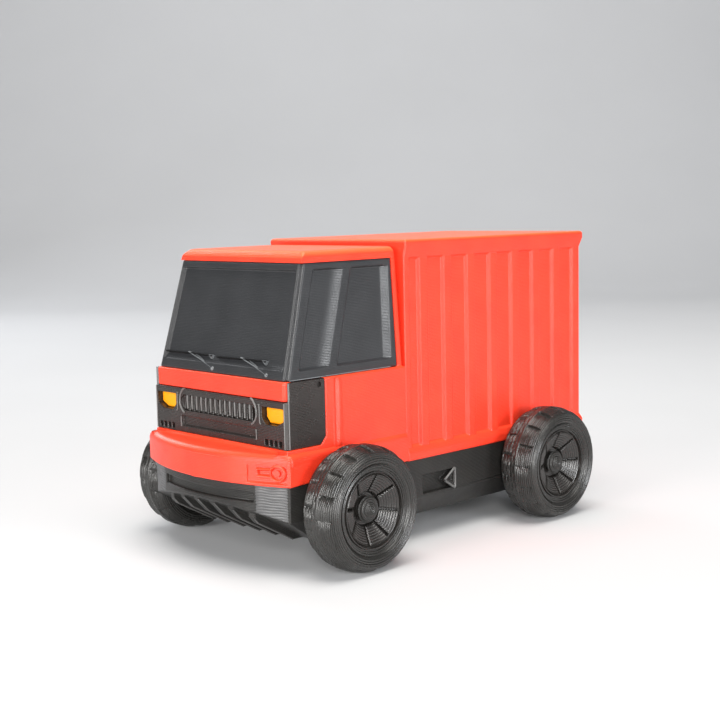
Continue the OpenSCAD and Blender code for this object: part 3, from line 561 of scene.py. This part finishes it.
def wiper(side, start, end, clasp, pivot):
    """A blade in near black as painted shadow, and its arm with a stay, a pointed tip and a round knob
    in light grey as painted highlights.
    """
    blade = [start, ((start[0] + end[0]) / 2, start[1] + 0.05), end]
    wiper_bar("wiper_blade_" + side, blade, 0.34, 0.5, BLADE_SHADOW)
    elbow = (clasp[0] + 0.5 * (pivot[0] - clasp[0]), clasp[1] - 0.46 * (clasp[1] - pivot[1]))
    wiper_bar("wiper_arm_" + side, [clasp, elbow, pivot], 0.26, 0.5, WIPER_HIGHLIGHT)
    stay = [(clasp[0] + 1.9, end[1]), (elbow[0] + 1.0, elbow[1] - 0.2)]
    wiper_bar("wiper_stay_" + side, stay, 0.16, 0.4, WIPER_HIGHLIGHT)
    steps = ((-0.95, 0.05), (0.1, 0.08), (-0.15, -0.5), (-0.95, 0.05))
    tip = [(end[0] + dx, end[1] + dy) for dx, dy in steps]
    wiper_bar("wiper_tip_" + side, tip, 0.2, 0.5, WIPER_HIGHLIGHT)
    circle = [polar(KNOB_R, t) for t in range(0, 361, 30)]
    knob = [(pivot[0] + x, pivot[1] + y) for x, y in circle]
    wiper_bar("wiper_knob_" + side, knob, 0.44, 0.6, WIPER_HIGHLIGHT)


def belt_line(side, sign):
    """A fine light grey bead under the side's windows, a painted highlight along the belt edge."""
    path = [(sign * (half_x(BELT) - 0.03), y, BELT + 0.1) for y in (-32.9, -26.0, -19.0, -11.6)]
    bead("belt_line_" + side, path, 0.14, 0.1, WIPER_HIGHLIGHT, "black_window", (sign, 0, -0.3))


window_insert()
for side, points in WIPERS.items():
    wiper(side, *points)
for side, sign in SIDES:
    belt_line(side, sign)

# ---- grille ----

FACE_Y = -34.2
FRONT = (0, -1, 0)
SLATS, SLAT_PITCH = 14, 1.23
# light grey beads on the left half of the grille's face, painted highlights on its edges: x-z points,
# width and height
GRILLE_EDGES = {
    "grille_arc": (((8.55, 26.85), (9.1, 26.5), (9.55, 25.9), (9.8, 25.1), (9.85, 24.3), (9.55, 23.6),
                    (9.0, 23.0), (8.6, 22.8)), 0.34, 0.18),
    "lamp_edge": (((10.25, 26.0), (10.5, 26.1), (10.55, 24.6), (10.55, 23.3), (10.8, 23.0)),
                  0.24, 0.12),
    "panel_end": (((9.65, 20.5), (9.65, 21.3), (9.65, 22.1)), 0.22, 0.12),
    "corner_front": (((16.32, 19.7), (16.32, 23.2), (16.32, 26.7)), 0.22, 0.1),
}


def grille_edge(name, path, width, height, out=FRONT):
    bead(name, path, width, height, EDGE_HIGHLIGHT, "black_grille", out)


def grille_edges(side, sign):
    for name, (points, width, height) in GRILLE_EDGES.items():
        grille_edge("%s_%s" % (name, side), [(sign * x, FACE_Y, z) for x, z in points], width, height)
    corner = [(sign * 16.8, FACE_Y + 0.55, z) for z in (19.7, 24.7, 29.7)]
    grille_edge("corner_side_" + side, corner, 0.22, 0.1, (sign, 0, 0))


def slat(i):
    """One upright slat's crown in light grey, a painted highlight, hollowed along its middle."""
    x = (i - (SLATS - 1) / 2) * SLAT_PITCH
    path = [(x, FACE_Y + 0.36, 23.55), (x, FACE_Y + 0.3, 24.9), (x, FACE_Y + 0.36, 26.15)]
    grille_edge("slat_%02d" % i, path, 0.32, 0.32)


for side, sign in SIDES:
    grille_edges(side, sign)
for i in range(SLATS):
    slat(i)

# ---- bumper and its fog lamp ----

BOW_Y, BOW_R = 2.1, 41.1  # the bumper's face is an arc round this y
BUMPER_HALF, SKIRT_HALF = 18.1, 17.4  # half widths at the bumper and at its sides' rear
LEDGE = 19.0  # the bumper's top
CREST = 1.0  # radius of its rounded top edge
PROUD = 0.025  # how far the cap stands off the CAD bumper
FOG_X, FOG_Z, FOG_R = 16.0, 16.3, 1.12
BAR_END, BAR_BEND, BAR_HALF = 12.8, 14.2, 0.55  # the fog lamp's bar beside its ring
FOG_OUT = (0.37, -0.93, 0)


def bow_point(x, z, radius):
    return (x, BOW_Y - math.sqrt(radius * radius - x * x), z)


def fog_lamp():
    """A ring, open towards the bar that runs round its side."""
    circle = [polar(FOG_R, a) for a in range(-150, 151, 15)]
    ring = [(FOG_X + x, FOG_Z + z) for x, z in circle]
    low = [ring[0], (BAR_BEND, FOG_Z - BAR_HALF), (BAR_END + 0.2, FOG_Z - BAR_HALF),
           (BAR_END, FOG_Z - BAR_HALF + 0.2)]
    high = [(x, 2 * FOG_Z - z) for x, z in low]
    bar = high + low[::-1]
    for name, points, width, height in (("fog_ring", ring, 0.5, 0.62), ("fog_bar", bar, 0.42, 0.6)):
        path = [bow_point(x, z, BOW_R - 0.32) for x, z in points]
        bead(name, path, width, height, RED, "red_body", FOG_OUT)


def wall_x(y):
    """The cab's side above the bumper."""
    return 16.8 + 0.2 * ramp01(y, -24.9, -23.9)


def bumper_path():
    """The bumper's outline from the right rear to the left rear, as points with their normals."""
    corner_y = BOW_Y - math.sqrt(BOW_R ** 2 - BUMPER_HALF ** 2)
    lean = 0.965 * math.atan2(BUMPER_HALF, BOW_Y - corner_y)
    front = []
    for i in range(-24, 25):
        a = lean * i / 24
        front.append((BOW_R * math.sin(a), BOW_Y - BOW_R * math.cos(a), math.sin(a), -math.cos(a)))
    # the round corner, then the side
    side = []
    x0, y0, nx, ny = front[-1]
    start = math.atan2(nx, -ny)
    radius = (BUMPER_HALF - x0) / (1 - nx)
    for i in range(1, 9):
        a = start + (math.pi / 2 - start) * i / 8
        cosine, sine = math.cos(a), math.sin(a)
        side.append((x0 + radius * (sine - nx), y0 - radius * (cosine + ny), sine, -cosine))
    for y in (-33.5, -32.0, -30.6, -29.8, -27.0, -24.9, -24.4, -23.9, -20.0, -15.0, -9.2, -8.95):
        x = BUMPER_HALF - (BUMPER_HALF - SKIRT_HALF) * (y - corner_y) / 5.0
        side.append((max(SKIRT_HALF, x), y, 1.0, 0.0))
    return [(-x, y, -nx, ny) for x, y, nx, ny in reversed(side)] + front + side


def cap_section(x, reach):
    """The cap's section as distances in from the face and heights; reach is the wall's distance."""
    section = [(0.005, LEDGE - CREST - 0.6), (-PROUD, LEDGE - CREST - 0.1)]
    for a in range(15, 91, 15):
        b = math.radians(a)
        d = (CREST + PROUD) * (1 - math.cos(b)) - PROUD
        section.append((d, LEDGE - CREST + (CREST + 0.02) * math.sin(b)))
    span = max(0.02, reach - CREST)
    for t in (0.2, 0.45, 0.7, 0.85, 0.95, 1.0):
        rise = 0.5 * max(0.0, (t - 0.6) / 0.4) ** 2 * ramp01(-abs(x), -16.0, -13.5)
        section.append((CREST + span * t, LEDGE + 0.03 + rise))
    return section


def bumper_cap():
    """The bumper's rounded top edge, all round, and the hollow that runs up to the grille."""
    rows = []
    for x, y, nx, ny in bumper_path():
        reach = (FACE_Y - y) / -ny if ny < -0.3 else 9.0
        if abs(x) > 15.5:
            reach = min(reach, (abs(x) - wall_x(y)) / max(0.25, abs(nx)))
        limit = max(0.1, reach + 0.08)
        sink = 0.04 if y > -9.0 else 0.0
        row = []
        for d, z in cap_section(x, reach):
            d = min(d, limit) + sink
            row.append((x - nx * d, y - ny * d, z - sink))
        rows.append(row)
    mesh("bumper_cap", *rows_sheet(rows), RED, "truck", "red_body", 60)


fog_lamp()

# ---- skid, sills and doors ----

SKID_R = BOW_R - 0.9
SKID_FOOT, SKID_CORNER_Y = 8.45, -34.235  # the foot's height at the corner, and the corner's y
SKID_SLOPE = 0.58  # the foot's rise per mm forward
SKID_PITCH = 0.43  # the printed layers that show on the skid's corners
SKID_INNER, SKID_OUTER = 11.3, 17.15  # where a corner starts and ends
SKID_COLUMNS, SKID_ROWS, SKID_STEP, SKID_LOW = 10, 72, 0.08, 8.4  # its grid, from SKID_LOW up
RIBS, RIB_PITCH, RIB_SHIFT = 6, 4.1, 0.58
RIB_FOOT = 7.79, -35.34  # z and y where a rib's edge bends
RIB_SLOPE = 1.093  # the rise of its front part
RIB_REAR = -28.5, 3.96  # y and z of its rear end
RIB_OUT = (0.35, -0.65, -0.65)
ARROW_X = 16.25
ARROW = ((0.85, 9.35), (3.35, 11.1), (3.45, 10.9), (3.45, 7.9), (3.35, 7.65), (0.95, 9.2))  # y, z
DOOR_EDGE_X, DOOR_EDGE_Y, DOOR_EDGE_FOOT, DOOR_EDGE_TOP = 17.0, -23.6, 18.9, 29.5
DOOR_EDGE_HALF, DOOR_EDGE_HEIGHT = 0.85, 0.2


def skid_corner(side, sign):
    """The skid's solid corner, with its layers standing out, in a lighter grey than the chassis as
    painted light.
    """
    rows = []
    for i in range(SKID_COLUMNS + 1):
        x = SKID_INNER + (SKID_OUTER - SKID_INNER) * i / SKID_COLUMNS
        y = BOW_Y - math.sqrt(SKID_R ** 2 - x * x)
        foot = SKID_FOOT + SKID_SLOPE * (SKID_CORNER_Y - y) + 0.1
        row = []
        for j in range(SKID_ROWS + 1):
            z = max(SKID_LOW + SKID_STEP * j, foot)
            wave = 0.06 * math.sin(x * 2.3) + 0.05 * math.sin(x * 0.9 + z)
            out = -0.03 + 0.12 * abs(math.sin(math.pi * (z + wave) / SKID_PITCH)) ** 0.4
            if i in (0, SKID_COLUMNS) or z - foot < 0.02:
                out = -0.1
            grow = (SKID_R + out) / SKID_R
            row.append((sign * x * grow, BOW_Y + (y - BOW_Y) * grow, z))
        rows.append(row)
    mesh("skid_corner_" + side, *rows_sheet(rows), CORNER_LIT, "truck", "black_chassis", 60)


def rib_line(i):
    """The bright edge of a rib under the skid, a light grey bead as a painted highlight."""
    x = (i - (RIBS - 1) / 2) * RIB_PITCH + RIB_SHIFT
    top = BOW_Y - math.sqrt((SKID_R - 0.6) ** 2 - x * x)
    foot_z, foot_y = RIB_FOOT
    path = [(x, y, foot_z + RIB_SLOPE * (foot_y - y)) for y in (top, -36.1, foot_y)]
    path.append((x, *RIB_REAR))
    bead("rib_line_%d" % i, path, 0.15, 0.08, EDGE_HIGHLIGHT, "black_chassis", RIB_OUT)


def sill_arrow(side, sign):
    """The raised outline of the arrow in the sill's pocket, in light grey as a painted highlight."""
    x = sign * ARROW_X
    path = []
    for (y0, z0), (y1, z1) in zip(ARROW, ARROW[1:]):
        path += [(x, y, z) for y, z in zip(spread(y0, y1, 3), spread(z0, z1, 3))]
    path.append((x, *ARROW[-1]))
    bead("sill_arrow_" + side, path, 0.4, 0.24, EDGE_HIGHLIGHT, "black_chassis", (sign, 0, 0))


def door_edge(side, sign):
    """A soft upright ridge on the cab's side, at its door's rear, that runs out at both ends."""
    foot, top = DOOR_EDGE_FOOT, DOOR_EDGE_TOP
    heights = (foot, foot + 0.4, foot + 0.9, (foot + top) / 2, top - 0.9, top - 0.4, top)
    rows = []
    for z, share in zip(heights, (0.0, 0.8, 1.0, 1.0, 1.0, 0.8, 0.0)):
        row = []
        for i in range(-8, 9):
            swell = share * DOOR_EDGE_HEIGHT * (0.5 + 0.5 * math.cos(math.pi * i / 8))
            row.append((sign * (DOOR_EDGE_X - 0.01 + swell), DOOR_EDGE_Y + DOOR_EDGE_HALF * i / 8, z))
        rows.append(row)
    mesh("door_edge_" + side, *rows_sheet(rows), RED, "truck", "red_body", 180)


for i in range(RIBS):
    rib_line(i)
for side, sign in SIDES:
    door_edge(side, sign)
for side, sign in SIDES:
    sill_arrow(side, sign)
    skid_corner(side, sign)
bumper_cap()

# ---- wheels ----

AXLES = {"front": (-23.7, 9.85), "rear": (22.3, 9.85)}  # y and z
WHEEL_TURNS = {"front": (9.0, 10.0), "rear": (14.5, 0.0)}  # how far the tyres and the rims are turned
BORE_R = 6.0  # the tyre's bore, round its rim
SHOULDER_FALL, SHOULDER_REACH = 1.6, 3.1
NOTCHES = 16
SECTOR = 360 / NOTCHES
POCKET, POCKET_END = 13.0, 13.2  # degrees from a shoulder pocket's start to its deepest place and end
POCKET_IN, POCKET_OUT = 0.5, 3.12  # from the tyre's middle to the pocket's edges
POCKET_DEPTH = 0.5
POCKET_ANGLES = (0, 0.35, 2, 4, 6, 8, 10, 12.3, 12.8, 13.2, 15, 17, 19, 21)
TREAD_LINES = (-1.5, -0.7, 0.1)  # wavy grooves, from the tyre's middle plane
# the tyre's lip from its rim to the shoulder's foot, as steps in from the face and out from the bore
LIP = ((0.95, 0), (0.72, 0.06), (0.55, 0.3), (0.4, 0.7), (0.25, 1.1), (0.38, 1.2), (0.25, 1.3),
       (0.06, 1.42), (0, 1.65))
WHEEL_SHADES = {"tyre": ((42, 41, 39), (50, 49, 47), (36, 35, 33), 0.27),
                "rim": ((44, 41, 39), (50, 47, 45), (37, 35, 33), 0.24)}
PIN_HEAD = 0.9  # height of a pin's head
PIN_R, SHAFT_R = 2.1, 1.5
# the head from its edge to its middle, as radius and height over its underside
HEAD = ((1.92, 0.2), (1.78, 0.36), (1.5, 0.44), (1.3, 0.48), (1.16, 0.58), (0.98, 0.74), (0.7, 0.85),
        (0.35, 0.89), (0.05, 0.9))
PADS = 8
PAD_SECTOR = 360 / PADS
PAD_SLOT = 0.34
PAD_ANGLES = (1.2, 2.4, 2.7, 3.05, 3.5, 4.0, 4.6, 5.2, 5.9, 6.6, 7.4, 8.6, 11, 14, 17.5, 21)
HUB_R, HUB_EDGE, RIM_BORE = 2.5, 2.66, 1.58
DISH = 1.75
RIM_LIP, PAD_MARGIN = 0.2, 0.42  # in from the rim's outer radius, to its lip and to the pads' ends


def ridged(path, pitch, depth):
    """The same section with a rounded ridge every pitch along it, as printed rings have."""
    dense = []
    for (x0, r0), (x1, r1) in zip(path, path[1:]):
        count = max(1, round(math.hypot(x1 - x0, r1 - r0) / 0.03))
        dense += zip(spread(x0, x1, count), spread(r0, r1, count))
    dense.append(path[-1])
    out, total, wanted = [], 0.0, 0.0
    for (x0, r0), (x, r), (x1, r1) in zip(dense, dense[1:], dense[2:]):
        total += math.hypot(x - x0, r - r0)
        if total < wanted:
            continue
        wanted += pitch / 4
        size = math.hypot(x1 - x0, r1 - r0)
        sink = depth * (1 - abs(math.sin(math.pi * total / pitch)))
        out.append((x - sink * (r1 - r0) / size, r + sink * (x1 - x0) / size))
    return [path[0]] + out + [path[-1]]


def wheel_point(axle, x, r, degrees):
    """A point at a radius and an angle round an axle, from the front upwards."""
    dy, dz = polar(r, degrees)
    return (x, axle[0] - dy, axle[1] + dz)


def tyre_section(half, radius):
    """The tyre's section, from the outer lip to the inner one: distances from its middle, and radii."""

    def crown(x):
        out = max(0.0, abs(x) - (half - SHOULDER_REACH))
        return radius - SHOULDER_FALL * (1 - math.sqrt(max(0.0, 1 - (out / SHOULDER_REACH) ** 2)))

    outer = [(half - inward, BORE_R + up) for inward, up in LIP]
    outer.append((half, radius - SHOULDER_FALL - 0.12))
    for a in range(90, -1, -3):
        x = half - SHOULDER_REACH * (1 - math.sin(math.radians(a)))
        outer.append((x, crown(x)))
    outer = ridged(outer, RING_PITCH, 0.13)
    edge = round((half - SHOULDER_REACH) * 100)
    flat = [(x / 100, radius) for x in range(edge - 9, -edge, -9)]
    return outer + flat + [(-x, r) for x, r in reversed(outer)]


def tread_cut(x, a):
    """How deep the tread is cut at x and at angle a: pockets in both shoulders, and the grooves."""
    cut = 0.0
    phase = a % SECTOR if x > 0 else (a + SECTOR / 2) % SECTOR
    if POCKET_IN < abs(x) < POCKET_OUT and phase < POCKET_END:
        wall = min(ramp01(abs(x), POCKET_IN, 0.8), 1 - ramp01(abs(x), 2.7, 3.1))
        slope = ramp01(phase, 0, POCKET) ** 1.7 * (1 - ramp01(phase, 12.8, POCKET_END))
        cut += POCKET_DEPTH * wall * slope
    for line in TREAD_LINES:
        wave = line + 0.14 * math.sin(math.radians(a * NOTCHES * 2))
        cut += 0.1 * max(0.0, 1 - abs(x - wave) / 0.26)
    return cut


def tyre(node, axle, sign, body, turn, material):
    lo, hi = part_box(node)
    middle = (lo.x + hi.x) / 2 / MM
    section = tyre_section((hi.x - lo.x) / 2 / MM, (hi.z - lo.z) / 2 / MM)
    angles = [i * SECTOR + a for i in range(NOTCHES) for a in POCKET_ANGLES]
    rings = []
    for x, r in section:
        tread = r > BORE_R + 1.9
        depths = [tread_cut(x, a) if tread else 0.0 for a in angles]
        rings.append([wheel_point(axle, middle + sign * x, r - depth, a + turn)
                      for a, depth in zip(angles, depths)])
    verts, faces = rings_sheet(rings, join_ends=True)
    obj = mesh(node + "_tread", verts, faces, material, body, "black_tyre", 60)
    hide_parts(node)


def rim_level(r, a, face, outer):
    """How far the rim's face stands out at a radius and an angle: a dish of pads round the hub."""
    rim_edge, pad_edge = outer - RIM_LIP, outer - PAD_MARGIN
    if r < HUB_R:
        return face - 2.4
    if r > rim_edge:
        return face
    level = face - DISH * ramp01(rim_edge - r, 0, rim_edge - HUB_R) - 0.1
    if r < HUB_EDGE:
        return level - 0.9
    if r > pad_edge:
        return level - 0.45
    off_slot = (a + PAD_SECTOR / 2) % PAD_SECTOR - PAD_SECTOR / 2
    edge = min(abs(math.radians(off_slot)) * r - PAD_SLOT / 2, r - HUB_EDGE, pad_edge - r)
    if edge < 0:
        return level - 0.85
    ridge = 0.11 * (abs(math.sin(math.pi * r / RING_PITCH)) - 1)
    return level + ridge - 0.16 * max(0.0, 1 - edge / 0.2)


def rim_radii(outer):
    """The radii at which the rim's face is cut into rings, close together at its steps."""
    rim_edge, pad_edge = outer - RIM_LIP, outer - PAD_MARGIN
    step = RING_PITCH / 4
    radii = [RIM_BORE, RIM_BORE + 0.02, 2.2, 2.26, 2.45, HUB_R, 2.64, 2.67, 2.72, 2.8]
    radii += [2.9 + step * i for i in range(round((pad_edge - 3.0) / step))]
    radii += [pad_edge - 0.08, pad_edge - 0.03, pad_edge + 0.01, pad_edge + 0.03]
    return radii + [rim_edge - 0.02, rim_edge + 0.02, outer - 0.1, outer - 0.03]


def rim(node, axle, sign, body, turn, material):
    lo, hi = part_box(node)
    face = (hi.x if sign > 0 else -lo.x) / MM
    back = (lo.x if sign > 0 else -hi.x) / MM
    outer = (hi.z - lo.z) / 2 / MM
    offsets = [-a for a in reversed(PAD_ANGLES)] + [0] + list(PAD_ANGLES)
    angles = [i * PAD_SECTOR + a for i in range(PADS) for a in offsets]
    rows = [[(rim_level(r, a, face, outer), r) for a in angles] for r in rim_radii(outer)]
    # round the rim's edge and back to its hub and bore
    for x, r in ((face - 0.06, outer), (back, outer), (back, outer - 1.2), (back + 1.4, outer - 1.2),
                 (back + 1.4, HUB_R), (back - 0.85, HUB_R), (back - 0.85, RIM_BORE)):
        rows.append([(x, r)] * len(angles))
    rings = []
    for row in rows:
        rings.append([wheel_point(axle, sign * x, r, a + turn) for (x, r), a in zip(row, angles)])
    verts, faces = rings_sheet(rings, join_ends=True)
    obj = mesh(node + "_face", verts, faces, material, body, "black_rim", 35)
    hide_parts(node)


def pin(node, axle, sign):
    """A pin with a ridged dome in a flat flange."""
    lo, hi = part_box(node)
    outer = (hi.x if sign > 0 else -lo.x) / MM
    inner = (lo.x if sign > 0 else -hi.x) / MM
    under = outer - PIN_HEAD
    section = [(0.03, inner), (SHAFT_R - 0.3, inner), (SHAFT_R, inner + 0.4), (SHAFT_R, under),
               (PIN_R - 0.08, under), (PIN_R, under + 0.06), (PIN_R - 0.05, under + 0.12),
               (1.98, under + 0.14)]
    section += ridged([(r, under + up) for r, up in HEAD], RING_PITCH, 0.1)
    rings = [[wheel_point(axle, sign * x, r, t) for t in range(0, 360, 6)] for r, x in section]
    verts, faces = rings_sheet(rings)
    count = len(rings[0])
    faces += [list(range(count)), [len(verts) - count + k for k in range(count)]]
    obj = mesh(node + "_turned", verts, faces, PIN, "truck", "black_pin", 50)
    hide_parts(node)


for end, axle in AXLES.items():
    tyre_turn, rim_turn = WHEEL_TURNS[end]
    plastics = {}
    for kind, shade in WHEEL_SHADES.items():
        name = "%s_plastic_%d" % (kind, round(axle[0]))
        plastics[kind] = printed(name, *shade, specular=0.6, wheel=axle)
    for side, sign in SIDES:
        place = "%s_%s" % (end, side)
        tyre("tyre_" + place, axle, sign, "wheel_" + place, tyre_turn, plastics["tyre"])
        rim("rim_" + place, axle, sign, "wheel_" + place, rim_turn, plastics["rim"])
        pin("wheel_pin_" + place, axle, sign)

# ---- stage, light and camera; their places are in metres, the camera's in mm ----

VIEW_TURN = 46.278  # the camera's direction, in degrees from the nose towards the left side
STAGE_HALF = 2.2
SWEEP_START, SWEEP_R, SWEEP_TOP = 0.5, 0.35, 1.8


def sweep():
    """A pale floor that curves up behind the truck, as seen from the camera."""
    m = Nodes("stage_paper")
    grey = m.mix(m.noise(m.coord(), 60.0), srgb(198, 199, 201), srgb(202, 203, 205))
    m.link(grey, m.bsdf.inputs["Base Color"])
    m.bsdf.inputs["Roughness"].default_value = 0.9
    m.bsdf.inputs["Specular IOR Level"].default_value = 0.1
    line = [(-1.2, 0.0), (SWEEP_START, 0.0)]
    for a in range(10, 91, 10):
        across, up = polar(SWEEP_R, a - 90)
        line.append((SWEEP_START + across, SWEEP_R + up))
    line.append((SWEEP_START + SWEEP_R, SWEEP_TOP))
    turn = math.radians(VIEW_TURN)
    back = Vector((-math.sin(turn), math.cos(turn), 0))
    along = Vector((math.cos(turn), math.sin(turn), 0))
    ends = (-STAGE_HALF, STAGE_HALF)
    verts = [back * d + along * s + Vector((0, 0, z)) for d, z in line for s in ends]
    faces = [(2 * i, 2 * i + 1, 2 * i + 3, 2 * i + 2) for i in range(len(line) - 1)]
    data = bpy.data.meshes.new("stage_sweep")
    data.from_pydata(verts, [], faces)
    obj = bpy.data.objects.new("stage_sweep", data)
    bpy.context.scene.collection.objects.link(obj)
    data.materials.append(m.mat)
    data.shade_smooth()


def light(name, place, aim, size, watts, colour=(1, 1, 1)):
    """A soft rectangular lamp."""
    data = bpy.data.lights.new(name, "AREA")
    data.shape = "RECTANGLE"
    data.size, data.size_y = size
    data.energy = watts
    data.color = colour
    obj = bpy.data.objects.new(name, data)
    bpy.context.scene.collection.objects.link(obj)
    obj.location = place
    obj.rotation_euler = (Vector(aim) - Vector(place)).to_track_quat("-Z", "Y").to_euler()


sweep()
light("front_light", (-0.01, -0.56, 0.11), (0, 0, 0.02), (0.34, 0.26), 2.9, (1.0, 0.985, 0.96))
light("near_light", (0.37, -0.33, 0.12), (0, 0, 0.03), (0.1, 0.28), 2.0, (1.0, 0.99, 0.97))
light("side_light", (0.50, 0.07, 0.06), (0, 0, 0.03), (0.14, 0.2), 2.0, (0.96, 0.98, 1.0))
light("top_light", (0.12, -0.05, 0.55), (0, 0, 0.0), (0.4, 0.4), 3.6, (1.0, 0.97, 0.92))
light("far_light", (-0.50, 0.05, 0.30), (0, 0, 0.02), (0.2, 0.3), 0.9, (0.95, 0.97, 1.0))
light("backdrop_light", (-0.25, 0.25, 0.75), (-0.7, 0.7, 0.2), (0.4, 0.4), 1.9)

world = bpy.data.worlds.new("stage_world")
world.use_nodes = True
background = world.node_tree.nodes["Background"]
background.inputs[0].default_value = srgb(225, 230, 238)
background.inputs[1].default_value = 0.18
scene = bpy.context.scene
scene.world = world

CAMERA = Vector((160.4, -156.13, 55.96))
TARGET = Vector((10.53, -12.8, 30.70))
PICTURE_PX = 720  # the photo's width and height
LENS_PX = 1282.73  # focal length in the photo's pixels
SENSOR = 36
ROLL = -1.275

camera_data = bpy.data.cameras.new("camera")
camera = bpy.data.objects.new("camera", camera_data)
scene.collection.objects.link(camera)
camera_data.sensor_width = SENSOR
camera_data.lens = SENSOR * LENS_PX / PICTURE_PX
camera_data.clip_start = 0.01
look = (TARGET - CAMERA).normalized()
right = look.cross(Vector((0, 0, 1))).normalized()
up = right.cross(look)
roll = math.radians(ROLL)
axis_x = right * math.cos(roll) + up * math.sin(roll)
axis_y = up * math.cos(roll) - right * math.sin(roll)
camera.matrix_world = Matrix((
    (axis_x.x, axis_y.x, -look.x, CAMERA.x * MM),
    (axis_x.y, axis_y.y, -look.y, CAMERA.y * MM),
    (axis_x.z, axis_y.z, -look.z, CAMERA.z * MM),
    (0, 0, 0, 1),
))
scene.camera = camera
scene.view_settings.view_transform = "Standard"
